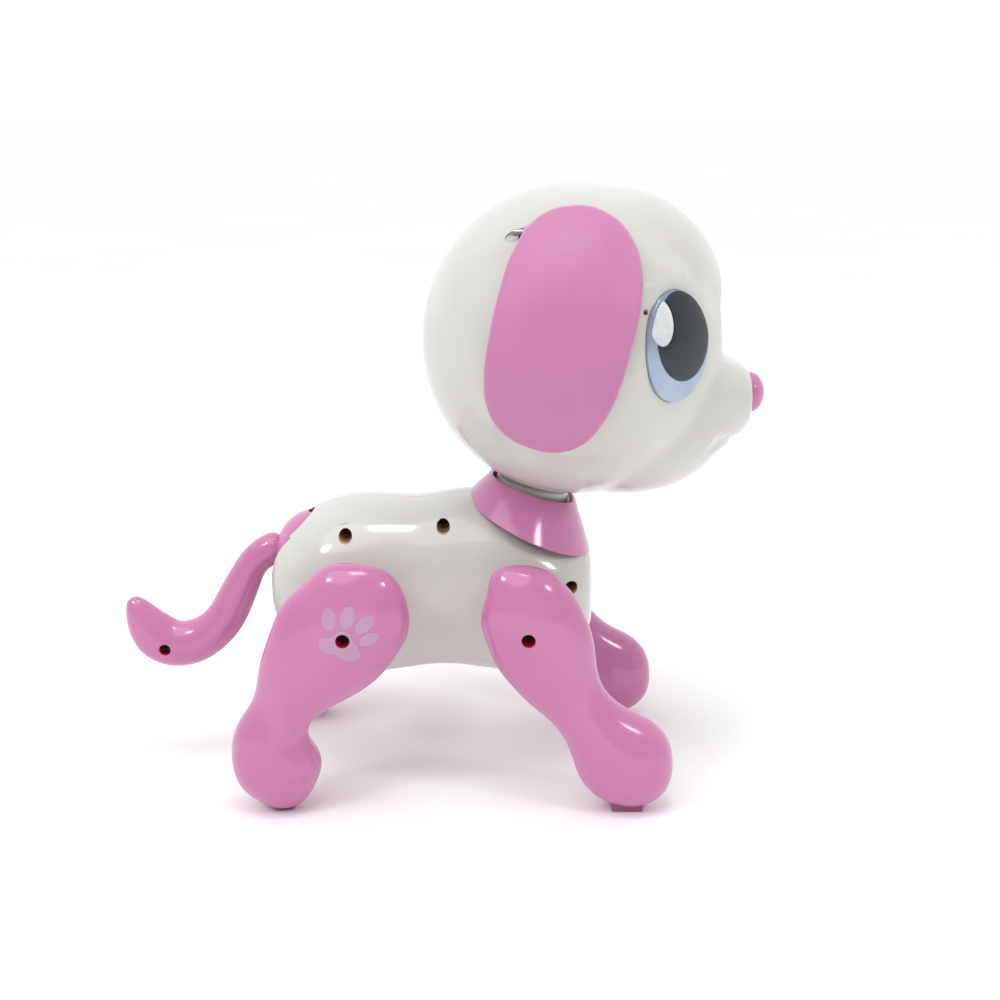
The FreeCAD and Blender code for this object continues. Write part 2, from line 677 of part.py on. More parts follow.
def ear_right():
    """Right ear: curved flap, tab through the slot and hinge barrel inside the head."""
    points = [Vector(x, -90, z) for x, z in EAR_OUTLINE]
    prism = Part.Face(closed_spline(points)).extrude(Vector(0, 80, 0))
    flap = one_solid(head_shell_between(EAR_INNER_R, EAR_OUTER_R).common(prism))
    outward = Vector(0, -EAR_PIN_Y, EAR_PIN_Z - HEAD.z).normalize()
    aim = math.degrees(math.atan2(outward.z, -outward.y))
    tab = box((27.0, -EAR_PIN_Y - 7.0, EAR_PIN_Z - 1.1), (43.0, -EAR_PIN_Y, EAR_PIN_Z + 1.1))
    tab.rotate(Vector(0, -EAR_PIN_Y, EAR_PIN_Z), X_AXIS, -aim)
    barrel = Part.makeCylinder(2.0, 16.0, Vector(27.0, -EAR_PIN_Y, EAR_PIN_Z), X_AXIS)
    ear = flap.fuse(tab.common(Part.makeSphere(EAR_OUTER_R - 1, HEAD))).fuse(barrel)
    return one_solid(ear.cut(Part.makeCylinder(1.0 + FIT, 40, Vector(15, -EAR_PIN_Y, EAR_PIN_Z), X_AXIS)))


def ear_pin():
    """Steel hinge pin of the right ear."""
    return Part.makeCylinder(1.0, 22.0, Vector(24.0, -EAR_PIN_Y, EAR_PIN_Z), X_AXIS)


def ear_lugs():
    """Lugs inside the right head shell that carry the ear's pin."""
    lugs = []
    for low, high in ((22.5, 26.4), (43.6, 47.5)):
        lug = box((low, -EAR_PIN_Y - 10, EAR_PIN_Z - 3.4), (high, -EAR_PIN_Y + 4, EAR_PIN_Z + 10))
        lug = lug.common(Part.makeSphere(HEAD_R - 0.5, HEAD))
        lugs.append(lug.cut(Part.makeCylinder(1.0, 40, Vector(15, -EAR_PIN_Y, EAR_PIN_Z), X_AXIS)))
    return lugs


def head_halves():
    """Two head shells with eye openings, ear slots, neck hole and screw bosses."""
    skin = HEAD_OUT.cut(HEAD_IN)
    for side in (-1, 1):
        skin = skin.cut(eye_prism(side, EYE_HALF_WIDTH, EYE_HALF_HEIGHT))
    skin = skin.cut(neck_rod(8.03, -70, -35))
    skin = skin.cut(Part.makeCylinder(2.3, 20, Vector(90, 0, 129), X_AXIS))
    right = side_half(skin, -90, 0).cut(ear_slot())
    for lug in ear_lugs():
        right = right.fuse(lug)
    left = mirrored(right)
    for x, z in HEAD_SCREWS:
        right = right.fuse(rod_y(x, z, 3.6, -60, 0).common(HEAD_OUT))
        left = left.fuse(mirrored(rod_y(x, z, 3.6, -60, 0).common(HEAD_OUT)))
        right = right.cut(rod_y(x, z, RECESS_R, -60, -6)).cut(rod_y(x, z, 1.35, -7, 1))
        left = left.cut(rod_y(x, z, 1.3, -1, 9))
    return one_solid(right), one_solid(left)


def eye_pieces(side):
    """Eye shell in its opening and the dark pupil dome on it."""
    oval = eye_prism(side, EYE_HALF_WIDTH - EYE_FIT, EYE_HALF_HEIGHT - EYE_FIT)
    shift = (-side * PUPIL_SHIFT[0], PUPIL_SHIFT[1])
    white = head_shell_between(HEAD_R - 2.2, HEAD_R + 0.6).common(oval)
    pupil = head_shell_between(HEAD_R + 0.6, HEAD_R + 1.1).common(oval)
    pupil = pupil.common(eye_prism(side, PUPIL_HALF_WIDTH, PUPIL_HALF_HEIGHT, shift))
    return one_solid(white), one_solid(pupil)


def nose():
    """Half-ball nose with the peg that plugs into the muzzle."""
    ball = ellipsoid(Vector(101.8, 0, 129.0), 4.6, 6.6, 6.6)
    dome = ball.common(box((101.8, -10, 110), (120, 10, 145)))
    return dome.fuse(Part.makeCylinder(2.2, 8.0, Vector(93.8, 0, 129.0), X_AXIS))


def neck_stem():
    """Stepped neck under the head, with the spigot and flange that turn in the body."""
    ring = neck_rod(10.0, -56.4, -44).cut(HEAD_OUT)
    stem = one_solid(ring).fuse(neck_rod(8.0, -56.4, -43)).fuse(neck_rod(7.0, -68.0, -56.4))
    return stem.fuse(neck_rod(8.8, -68.2, -66.2)).cut(neck_rod(4.5, -70, -40))


def eye_leds():
    """Light behind each eye."""
    lights = []
    for side in (-1, 1):
        out, _, _ = eye_frame(side)
        lights.append(Part.makeCylinder(2.5, 5.0, HEAD + out * 38.5, out))
    return lights


# ---------------------------------------------------------------- writing the pieces
def build_body():
    """Everything that stays with the body."""
    right, left = body_halves()
    save("body_shell_right", right)
    save("body_shell_left", left)
    fasteners = [screw(x, z, -6.0, 13.0) for x, z in BODY_SCREWS]
    save("body_screws", Part.makeCompound(fasteners + [hatch_screw()]))
    save("battery_hatch", belly_hatch())
    save("battery_box", battery_box().fuse(motor_cradle()))
    save("battery_cells", Part.makeCompound([battery_cell(y, i % 2 == 0) for i, y in enumerate(CELL_Y)]))
    save("battery_contacts", Part.makeCompound(battery_contacts() + battery_springs()))
    save("collar", collar())
    save("speaker", Part.makeCompound(speaker()))
    save("circuit_board", Part.makeCompound(circuit_board()))
    case, knob = power_switch()
    save("switch_case", case)
    save("switch_knob", knob)


def build_drive():
    """Motor, gear train, hip shafts and link bars."""
    save("gearbox_plates", Part.makeCompound([gearbox_plate(-1.2, 0.4), gearbox_plate(12.3, 13.9)]))
    save("gearbox_posts", Part.makeCompound(gearbox_posts()))
    save("motor", motor_can())
    save("motor_pinion", motor_pinion())
    save("idler_gear", idler_gear())
    save("drive_gear", drive_gear())
    save("drive_axle", drive_axle())
    for end, x in (("front", FRONT_HIP_X), ("rear", REAR_HIP_X)):
        shaft = hip_shaft(x)
        save("hip_shaft_" + end + "_right", shaft)
        save("hip_shaft_" + end + "_left", mirrored(shaft))
    link = walk_link()
    save("walk_link_right", link)
    save("walk_link_left", mirrored(link))


def build_legs():
    """Four legs; the left ones mirror the right ones."""
    legs = {
        "front": (FRONT_LEG_RINGS, FRONT_HIP_X, (56.0, 66.2, 4.0)),
        "rear": (REAR_LEG_RINGS, REAR_HIP_X, (-52.6, -46.0, 2.6)),
    }
    for end, (rings, hip_x, pad) in legs.items():
        outer, inner, sole, fastener = leg_pieces(rings, hip_x, pad)
        pieces = {"leg_outer": outer, "leg_inner": inner, "foot_pad": sole, "hip_screw": fastener}
        for name, shape in pieces.items():
            save(name + "_" + end + "_right", shape)
            save(name + "_" + end + "_left", mirrored(shape))


def build_tail():
    """Tail and its pivot."""
    right, left, hub, post, fastener = tail_pieces()
    save("tail_half_right", right)
    save("tail_half_left", left)
    save("tail_hub", hub)
    save("tail_post", post)
    save("tail_screw", fastener)


def build_head():
    """Head, face, ears and neck."""
    right, left = head_halves()
    save("head_shell_right", right)
    save("head_shell_left", left)
    save("head_screws", Part.makeCompound([screw(x, z, -6.0, 13.0) for x, z in HEAD_SCREWS]))
    for name, side in (("right", -1), ("left", 1)):
        white, pupil = eye_pieces(side)
        save("eye_shell_" + name, white)
        save("eye_pupil_" + name, pupil)
    save("eye_leds", Part.makeCompound(eye_leds()))
    save("nose", nose())
    save("neck_stem", neck_stem())
    ear = ear_right()
    save("ear_right", ear)
    save("ear_left", mirrored(ear))
    save("ear_pins", Part.makeCompound([ear_pin(), mirrored(ear_pin())]))


build_body()
build_drive()
build_legs()
build_tail()
build_head()
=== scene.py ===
"""Looks of a walking robot puppy toy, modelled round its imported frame.

Lengths in the dataclasses are millimetres; everything handed to Blender is in metres.
+X points to the nose, +Y to the puppy's left and +Z up; the feet stand on Z = 0.
"""
import logging
import math
from dataclasses import dataclass, field, replace
from enum import Enum
from typing import Iterable, Optional, Sequence, Tuple

import bmesh
import bpy
from mathutils import Matrix, Vector


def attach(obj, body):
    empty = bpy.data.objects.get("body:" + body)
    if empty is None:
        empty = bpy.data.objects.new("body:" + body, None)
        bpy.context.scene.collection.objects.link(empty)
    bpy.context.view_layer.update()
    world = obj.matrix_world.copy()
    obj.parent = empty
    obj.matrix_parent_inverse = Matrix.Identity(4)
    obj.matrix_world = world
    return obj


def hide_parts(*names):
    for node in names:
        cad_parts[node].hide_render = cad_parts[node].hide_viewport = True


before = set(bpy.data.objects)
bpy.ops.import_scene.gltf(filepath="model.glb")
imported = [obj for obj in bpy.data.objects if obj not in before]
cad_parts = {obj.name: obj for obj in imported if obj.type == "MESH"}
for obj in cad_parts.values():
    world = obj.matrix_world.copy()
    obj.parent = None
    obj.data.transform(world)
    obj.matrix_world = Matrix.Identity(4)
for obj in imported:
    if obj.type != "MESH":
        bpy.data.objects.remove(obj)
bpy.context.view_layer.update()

LOG = logging.getLogger("puppy")
MM = 0.001
Point = Tuple[float, float, float]
Place = Tuple[float, float]

HEAD = (43.2, 0.0, 147.0)
HEAD_R = 49.5
WALL = 2.0
HIP_Z = 60.3
FRONT_HIP_X = 29.0
REAR_HIP_X = -28.3
LEG_Y = 39.0
RUMP = (-40.7, 0.0, 74.9)
SHANK_R = 1.4
OUTSIDE_Y = -80.0
NECK_TILT = 14.0
NECK_AXIS = Vector((math.sin(math.radians(NECK_TILT)), 0, math.cos(math.radians(NECK_TILT))))


class Side(Enum):
    """The puppy's two sides, as the sign of Y."""

    RIGHT = -1
    LEFT = 1

    @property
    def word(self) -> str:
        """The side's name as the frame spells it."""
        return self.name.lower()


class Joinery(Enum):
    """How one solid is combined with another."""

    ADD = "UNION"
    CUT = "DIFFERENCE"
    KEEP = "INTERSECT"


# ------------------------------------------------------------------ the modelling bench
def metres(point: Sequence[float]) -> Vector:
    """A point in millimetres as a Blender vector in metres."""
    return Vector(point) * MM


def neck_line(*depths: float) -> list:
    """Points on the neck's axis, so many millimetres below the head's centre."""
    return [Vector(HEAD) - NECK_AXIS * depth for depth in depths]


def interpolating(values: Sequence[float], passes: int = 12) -> list:
    """Control values whose smooth curve runs through the given ones.

    Args:
        values: the values that the finished surface should have.
        passes: how often the correction is repeated.

    Returns:
        The control values, with both ends unchanged.
    """
    control = list(values)
    for _ in range(passes):
        for i in range(1, len(values) - 1):
            smooth = (control[i - 1] + 4 * control[i] + control[i + 1]) / 6
            control[i] += values[i] - smooth
    return control


@dataclass(frozen=True)
class Ring:
    """One oval section of a lofted form: its middle, half sizes and squareness.

    `across` is measured in the XZ plane square to the form's middle line, `deep` along Y.
    A squareness of 2 is an ellipse; more than 2 fills the corners.
    """

    x: float
    z: float
    across: float
    deep: float
    squareness: float = 2.0

    def inset(self, wall: float) -> "Ring":
        """The same section, smaller by a wall all round."""
        return replace(self, across=self.across - wall, deep=self.deep - wall)


class Workpiece:
    """A mesh on the bench, shaped with the tools that a modeller uses by hand."""

    def __init__(self, obj: bpy.types.Object) -> None:
        """Wrap a Blender object."""
        self.obj = obj

    # -------------------------------------------------------------- picking up and putting down
    @staticmethod
    def clear_bench() -> None:
        """Leave edit mode and deselect everything."""
        active = bpy.context.view_layer.objects.active
        if active is not None and active.mode != "OBJECT":
            bpy.ops.object.mode_set(mode="OBJECT")
        bpy.ops.object.select_all(action="DESELECT")

    @classmethod
    def fresh(cls, name: str) -> "Workpiece":
        """The primitive that was just added, named and settled."""
        piece = cls(bpy.context.object)
        piece.obj.name = name
        piece.obj.data.name = name
        piece.settle()
        return piece

    def take(self) -> None:
        """Select only this piece."""
        self.clear_bench()
        self.obj.select_set(True)
        bpy.context.view_layer.objects.active = self.obj

    def settle(self) -> None:
        """Write the object's place into its mesh."""
        self.take()
        bpy.ops.object.transform_apply(location=True, rotation=True, scale=True)

    def edit(self, select: str = "SELECT") -> None:
        """Enter edit mode in vertex mode with all or nothing selected."""
        self.take()
        bpy.ops.object.mode_set(mode="EDIT")
        bpy.ops.mesh.select_mode(type="VERT")
        bpy.ops.mesh.select_all(action=select)

    def done(self) -> None:
        """Leave edit mode."""
        bpy.ops.object.mode_set(mode="OBJECT")

    def scrap(self) -> None:
        """Throw a used tool away."""
        mesh = self.obj.data
        bpy.data.objects.remove(self.obj)
        bpy.data.meshes.remove(mesh)

    def copy(self, name: str) -> "Workpiece":
        """A copy with its own mesh."""
        twin = self.obj.copy()
        twin.data = self.obj.data.copy()
        twin.name = twin.data.name = name
        bpy.context.scene.collection.objects.link(twin)
        return Workpiece(twin)

    # -------------------------------------------------------------- primitives
    @classmethod
    def blank(cls, name: str) -> "Workpiece":
        """An empty mesh, left in edit mode."""
        cls.clear_bench()
        bpy.ops.object.add(type="MESH")
        piece = cls.fresh(name)
        piece.edit()
        return piece

    @classmethod
    def ball(cls, name: str, centre: Point, radii: Point, segments: int = 96) -> "Workpiece":
        """A sphere stretched along the axes.

        Args:
            name: the piece's name.
            centre: its middle, in millimetres.
            radii: its half sizes along X, Y and Z.
            segments: how many facets go round it.

        Returns:
            The new piece.
        """
        cls.clear_bench()
        bpy.ops.mesh.primitive_uv_sphere_add(
            segments=segments, ring_count=segments // 2, radius=MM, location=metres(centre)
        )
        bpy.context.object.scale = radii
        return cls.fresh(name)

    @classmethod
    def rod(cls, name: str, start: Point, end: Point, radius: float, sides: int = 48) -> "Workpiece":
        """A cylinder between two points.

        Args:
            name: the piece's name.
            start: the middle of one end, in millimetres.
            end: the middle of the other end.
            radius: its radius.
            sides: how many facets go round it.

        Returns:
            The new piece.
        """
        cls.clear_bench()
        low, high = metres(start), metres(end)
        way = high - low
        bpy.ops.mesh.primitive_cylinder_add(
            vertices=sides, radius=radius * MM, depth=way.length,
            location=(low + high) / 2, rotation=way.to_track_quat("Z", "Y").to_euler(),
        )
        return cls.fresh(name)

    @classmethod
    def block(cls, name: str, low: Point, high: Point) -> "Workpiece":
        """A box between two corners given in millimetres."""
        cls.clear_bench()
        a, b = metres(low), metres(high)
        bpy.ops.mesh.primitive_cube_add(size=1.0, location=(a + b) / 2)
        bpy.context.object.scale = b - a
        return cls.fresh(name)

    @classmethod
    def prism(cls, name: str, outline: Sequence[Place], y_from: float, y_to: float) -> "Workpiece":
        """A smooth closed outline in the XZ plane, extruded along Y.

        Args:
            name: the piece's name.
            outline: X and Z of the points that the outline runs through.
            y_from: where the extrusion starts.
            y_to: where it ends.

        Returns:
            The new piece.
        """
        cls.clear_bench()
        line = bpy.data.curves.new(name, "CURVE")
        line.dimensions = "3D"
        line.resolution_u = 10
        spline = line.splines.new("BEZIER")
        spline.bezier_points.add(len(outline) - 1)
        for knot, (x, z) in zip(spline.bezier_points, outline):
            knot.co = metres((x, y_from, z))
            knot.handle_left_type = knot.handle_right_type = "AUTO"
        spline.use_cyclic_u = True
        piece = cls(bpy.data.objects.new(name, line))
        bpy.context.scene.collection.objects.link(piece.obj)
        piece.take()
        bpy.ops.object.convert(target="MESH")
        piece.edit()
        bpy.ops.mesh.edge_face_add()
        bpy.ops.mesh.extrude_region_move(
            TRANSFORM_OT_translate={"value": (0, (y_to - y_from) * MM, 0)}
        )
        piece.orient()
        piece.done()
        return piece

    @classmethod
    def loft(
        cls, name: str, rings: Sequence[Ring], sides: int = 16, levels: int = 3,
        tilts: Optional[Sequence[float]] = None,
    ) -> "Workpiece":
        """A closed smooth form through a string of oval rings.

        Args:
            name: the piece's name.
            rings: the sections, in order along the form's middle line.
            sides: how many points each ring has.
            levels: how often the cage is subdivided.
            tilts: each ring's turn about Y in degrees; left out, rings stand square to the line.

        Returns:
            The new piece.
        """
        piece = cls.blank(name)
        swell = 3 / (2 + math.cos(2 * math.pi / sides))
        columns = zip(*((ring.x, ring.z, ring.across, ring.deep) for ring in rings))
        cage = zip(*(interpolating(values) for values in columns))
        for index, (x, z, across, deep) in enumerate(cage):
            if tilts is None:
                before, after = rings[max(index - 1, 0)], rings[min(index + 1, len(rings) - 1)]
                turn = math.atan2(after.x - before.x, after.z - before.z)
            else:
                turn = math.radians(tilts[index])
            centre = metres((x, 0, z))
            bpy.ops.mesh.primitive_circle_add(vertices=sides, radius=1.0, location=centre)
            if rings[index].squareness > 2:
                piece.square_up(centre, rings[index].squareness, sides)
            bpy.ops.transform.resize(
                value=(across * swell * MM, deep * swell * MM, 1), center_override=centre
            )
            bpy.ops.transform.rotate(value=-turn, orient_axis="Y", center_override=centre)
        bpy.ops.mesh.select_all(action="SELECT")
        bpy.ops.mesh.bridge_edge_loops()
        bpy.ops.mesh.select_all(action="SELECT")
        bpy.ops.mesh.fill_holes(sides=0)
        piece.orient()
        piece.done()
        piece.modify("SUBSURF", levels=levels, render_levels=levels)
        return piece

    def square_up(self, centre: Vector, squareness: float, sides: int) -> None:
        """Push the corners of a just-added circle outwards, towards a rounded box.

        Args:
            centre: the circle's middle.
            squareness: the power of the rounded box.
            sides: how many points the circle has.
        """
        mesh = bmesh.from_edit_mesh(self.obj.data)
        circle = [v for v in mesh.verts if v.select]
        quarter = sides // 4
        for step in range(1, quarter // 2 + 1):
            angle = 2 * math.pi * step / sides
            reach = (math.cos(angle) ** squareness + math.sin(angle) ** squareness) ** (-1 / squareness)
            for v in circle:
                place = round(math.atan2(v.co.y - centre.y, v.co.x - centre.x) / (2 * math.pi) * sides)
                v.select_set(place % quarter in (step, quarter - step))
            mesh.select_flush_mode()
            bmesh.update_edit_mesh(self.obj.data)
            bpy.ops.transform.resize(value=(reach, reach, 1), center_override=centre)
        self.pick(mesh, circle)

    def pick(self, mesh: bmesh.types.BMesh, points: Iterable[bmesh.types.BMVert]) -> None:
        """Select points of the mesh that is being edited."""
        for v in points:
            v.select_set(True)
        mesh.select_flush_mode()
        bmesh.update_edit_mesh(self.obj.data)

    # -------------------------------------------------------------- shaping
    def modify(self, kind: str, **settings: object) -> None:
        """Add a modifier with its settings and apply it.

        Args:
            kind: Blender's name for the modifier.
            settings: its properties.
        """
        self.take()
        modifier = self.obj.modifiers.new(kind, kind)
        for key, value in settings.items():
            setattr(modifier, key, value)
        bpy.ops.object.modifier_apply(modifier=modifier.name)

    def combine(
        self, tools: Iterable["Workpiece"], joinery: Joinery, material_mode: str = "INDEX"
    ) -> None:
        """Add, cut or keep with each tool in turn, and scrap the tools.

        Args:
            tools: the other solids.
            joinery: what to do with them.
            material_mode: whether cut faces keep this piece's finish or take the tool's.
        """
        for tool in tools:
            self.modify(
                "BOOLEAN", operation=joinery.value, solver="EXACT", object=tool.obj,
                material_mode=material_mode,
            )
            tool.scrap()

    def cut(self, *tools: "Workpiece") -> None:
        """Cut the tools out of this piece."""
        self.combine(tools, Joinery.CUT)

    def bore(self, look: "Finish", lining: "Finish", *tools: "Workpiece") -> None:
        """Cut holes whose walls show another colour than the skin: a painted glow.

        Args:
            look: the skin's finish.
            lining: the finish of the holes' walls, painted with a glow of light.
            tools: the drills.
        """
        self.dress(look)
        for tool in tools:
            tool.obj.data.materials.append(lining.material())
        self.combine(tools, Joinery.CUT, "TRANSFER")

    def screw_hole(
        self, tones: Tuple["Finish", "Finish"], place: Place, boss: Place, floor: float,
        plane: float = 0.0, boss_r: float = 3.6, recess_r: float = 2.2,
    ) -> None:
        """Put a screw boss behind the skin and drill it from outside, along Y.

        Args:
            tones: the finishes of the skin and of the hole's walls, the walls' one a painted glow.
            place: the screw's X and Z.
            boss: where the boss starts and ends along Y.
            floor: where the recess for the screw's head ends.
            plane: the parting plane, which the narrow shank hole passes.
            boss_r: the boss's radius.
            recess_r: the recess's radius.
        """
        x, z = place
        self.add(Workpiece.rod("boss", (x, boss[0], z), (x, boss[1], z), boss_r))
        self.bore(
            *tones,
            Workpiece.rod("recess", (x, OUTSIDE_Y, z), (x, floor, z), recess_r),
            Workpiece.rod("shank", (x, floor - 0.5, z), (x, plane + 1.0, z), SHANK_R),
        )

    def add(self, *others: "Workpiece") -> None:
        """Fuse other solids to this piece."""
        self.combine(others, Joinery.ADD)

    def keep(self, *others: "Workpiece") -> None:
        """Keep only what lies inside each of the others."""
        self.combine(others, Joinery.KEEP)

    def gather(self, *others: "Workpiece") -> None:
        """Join other meshes into this one without changing them."""
        self.take()
        for other in others:
            other.obj.select_set(True)
        bpy.ops.object.join()

    def melt(self, voxel: float, passes: int, factor: float = 0.5) -> None:
        """Fuse overlapping solids into one skin and smooth its creases.

        Args:
            voxel: the skin's mesh size in millimetres.
            passes: how often it is smoothed.
            factor: how strongly each pass smooths.
        """
        self.modify("REMESH", mode="VOXEL", voxel_size=voxel * MM, use_smooth_shade=True)
        self.modify("SMOOTH", factor=factor, iterations=passes)

    def round_edges(self, radius: float, segments: int = 3, steeper: float = 50.0) -> None:
        """Round every edge that is steeper than an angle in degrees."""
        self.modify("BEVEL", width=radius * MM, segments=segments, angle_limit=math.radians(steeper))

    def keep_side(self, side: Side, plane_y: float) -> None:
        """Cut along a parting plane and keep one side, left open.

        Args:
            side: which side stays.
            plane_y: the plane's place along Y, in millimetres.
        """
        self.edit()
        bpy.ops.mesh.bisect(
            plane_co=(0, plane_y * MM, 0), plane_no=(0, 1, 0),
            clear_outer=side is Side.RIGHT, clear_inner=side is Side.LEFT, threshold=1e-7,
        )
        self.done()

    def weigh_rim(self) -> None:
        """Mark the open rim so that it gets a rounded edge."""
        self.edit("DESELECT")
        bpy.ops.mesh.select_mode(type="EDGE")
        bpy.ops.mesh.select_non_manifold()
        bpy.ops.transform.edge_bevelweight(value=1.0)
        self.done()

    def flip(self) -> None:
        """Turn all faces round."""
        self.edit()
        bpy.ops.mesh.flip_normals()
        self.done()

    @staticmethod
    def orient() -> None:
        """Select everything that is being edited and make its normals agree."""
        bpy.ops.mesh.select_all(action="SELECT")
        bpy.ops.mesh.normals_make_consistent(inside=False)

    def face_outwards(self) -> None:
        """Turn a closed mesh the right way out."""
        mesh = bmesh.new()
        mesh.from_mesh(self.obj.data)
        volume = mesh.calc_volume(signed=True)
        mesh.free()
        if volume < 0:
            self.flip()

    def wall_in(self, inner: "Workpiece", side: Side, plane_y: float, rounding: float) -> None:
        """Make this closed form one half of a hollow shell.

        Args:
            inner: the closed form of the hollow, used up.
            side: which half stays.
            plane_y: the parting plane's place.
            rounding: the radius of the half's outer parting edge.
        """
        self.keep_side(side, plane_y)
        inner.keep_side(side, plane_y)
        inner.flip()
        self.weigh_rim()
        self.gather(inner)
        self.edit("DESELECT")
        bpy.ops.mesh.select_mode(type="EDGE")
        bpy.ops.mesh.select_non_manifold()
        bpy.ops.mesh.bridge_edge_loops()
        self.orient()
        self.done()
        self.modify("BEVEL", width=rounding * MM, segments=2, limit_method="WEIGHT")
        self.face_outwards()

    def press(self, place: Point, within: float, move: Point, reach: float) -> None:
        """Push the skin near a place, with a soft falloff round it.

        Args:
            place: the middle of the touched skin.
            within: how far from it the skin is held.
            move: which way and how far it goes.
            reach: how far the falloff runs.
        """
        self.edit("DESELECT")
        mesh = bmesh.from_edit_mesh(self.obj.data)
        middle = metres(place)
        near = [v for v in mesh.verts if (v.co - middle).length < within * MM]
        if not near:
            near = [min(mesh.verts, key=lambda v: (v.co - middle).length)]
        self.pick(mesh, near)
        bpy.ops.transform.translate(
            value=metres(move), use_proportional_edit=True,
            proportional_edit_falloff="SMOOTH", proportional_size=reach * MM,
        )
        self.done()

    def twin(self, name: str) -> "Workpiece":
        """The same piece for the puppy's other side."""
        other = self.copy(name)
        other.take()
        other.obj.scale = (1, -1, 1)
        other.settle()
        other.face_outwards()
        return other

    # -------------------------------------------------------------- dressing
    def dress(self, look: "Finish") -> None:
        """Give the piece a finish, unless it already shows one."""
        if not any(self.obj.data.materials):
            self.obj.data.materials.clear()
            self.obj.data.materials.append(look.material())

    def finish(
        self, body: str, slot: str, look: "Finish", replaces: Sequence[str] = (), sharp: float = 32.0
    ) -> "Workpiece":
        """Shade, dress and mount the piece on its body.

        Args:
            body: the frame's body that carries it.
            slot: a material slot's name; not used.
            look: its finish.
            replaces: the frame's nodes that it stands for.
            sharp: edges steeper than this, in degrees, stay sharp.

        Returns:
            The piece itself.
        """
        self.settle()
        self.dress(look)
        bpy.ops.object.shade_smooth_by_angle(angle=math.radians(sharp))
        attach(self.obj, body)
        if replaces:
            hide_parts(*replaces)
        LOG.info("%s: %d faces on %s", self.obj.name, len(self.obj.data.polygons), body)
        return self


# ------------------------------------------------------------------ finishes
def linear(colour: str) -> Tuple[float, float, float, float]:
    """An sRGB hex colour as linear values.

    Args:
        colour: six hex digits after a hash.

    Returns:
        Red, green, blue and alpha.
    """
    parts = [int(colour[i:i + 2], 16) / 255 for i in (1, 3, 5)]
    return (*(c / 12.92 if c <= 0.04045 else ((c + 0.055) / 1.055) ** 2.4 for c in parts), 1.0)


def add_node(tree: bpy.types.NodeTree, kind: str, settings: dict, links: dict) -> bpy.types.Node:
    """Add one node, set it up and link its inputs.

    Args:
        tree: the material's node tree.
        kind: the node's type name.
        settings: properties by name, or input values by socket name.
        links: the output socket that feeds each named input.

    Returns:
        The new node.
    """
    node = tree.nodes.new(kind)
    for key, value in settings.items():
        if hasattr(node, key):
            setattr(node, key, value)
        else:
            node.inputs[key].default_value = value
    for key, source in links.items():
        tree.links.new(source, node.inputs[key])
    return node


@dataclass(frozen=True)
class Finish:
    """A surface with clouded colour, uneven gloss and a fine relief, all sized in millimetres.

    `colour` and `clouds` are the two ends of the colour drift, `cloud_size` how wide it is;
    `gloss` is the roughness range; `relief_size` and `relief_depth` are the fine bumps.
    """

    name: str
    colour: str
    clouds: str
    cloud_size: float = 22.0
    gloss: Tuple[float, float] = (0.14, 0.20)
    relief_size: float = 1.6
    relief_depth: float = 0.006
    stretch: Point = (1.0, 1.0, 1.0)
    ior: float = 1.53
    metallic: float = 0.0
    coat: float = 0.0
    sheen: float = 0.0
    subsurface: float = 0.0
    transmission: float = 0.0

    def material(self) -> bpy.types.Material:
        """The finish as a material, made once."""
        known = bpy.data.materials.get(self.name)
        return known if known is not None else self._make()

    def colour_source(self, tree: bpy.types.NodeTree, place: bpy.types.NodeSocket) -> bpy.types.NodeSocket:
        """Colour drifting between the two tones.

        Args:
            tree: the material's node tree.
            place: the coordinate socket.

        Returns:
            The colour socket.
        """
        noise = add_node(
            tree, "ShaderNodeTexNoise",
            {"Scale": 1 / (self.cloud_size * MM), "Detail": 2.0}, {"Vector": place},
        )
        ramp = add_node(tree, "ShaderNodeValToRGB", {}, {"Fac": noise.outputs["Fac"]})
        ramp.color_ramp.elements[0].position = 0.3
        ramp.color_ramp.elements[0].color = linear(self.clouds)
        ramp.color_ramp.elements[1].position = 0.7
        ramp.color_ramp.elements[1].color = linear(self.colour)
        return ramp.outputs["Color"]

    def _make(self) -> bpy.types.Material:
        """Build the node tree."""
        material = bpy.data.materials.new(self.name)
        material.use_nodes = True
        tree = material.node_tree
        shader = tree.nodes["Principled BSDF"]
        fixed = {
            "IOR": self.ior if not self.metallic else 1.5, "Metallic": self.metallic,
            "Coat Weight": self.coat, "Coat Roughness": 0.08, "Sheen Weight": self.sheen,
            "Subsurface Weight": self.subsurface, "Subsurface Scale": 0.0015,
            "Transmission Weight": self.transmission,
        }
        for key, value in fixed.items():
            shader.inputs[key].default_value = value
        coords = add_node(tree, "ShaderNodeTexCoord", {}, {})
        place = add_node(
            tree, "ShaderNodeMapping", {"Scale": self.stretch}, {"Vector": coords.outputs["Object"]}
        ).outputs["Vector"]
        tree.links.new(self.colour_source(tree, place), shader.inputs["Base Color"])
        relief = add_node(
            tree, "ShaderNodeTexNoise",
            {"Scale": 1 / (self.relief_size * MM), "Detail": 3.0}, {"Vector": place},
        )
        gloss = add_node(
            tree, "ShaderNodeMapRange",
            {"To Min": self.gloss[0], "To Max": self.gloss[1]}, {"Value": relief.outputs["Fac"]},
        )
        tree.links.new(gloss.outputs["Result"], shader.inputs["Roughness"])
        bump = add_node(
            tree, "ShaderNodeBump",
            {"Strength": 1.0, "Distance": self.relief_depth * MM}, {"Height": relief.outputs["Fac"]},
        )
        tree.links.new(bump.outputs["Normal"], shader.inputs["Normal"])
        return material


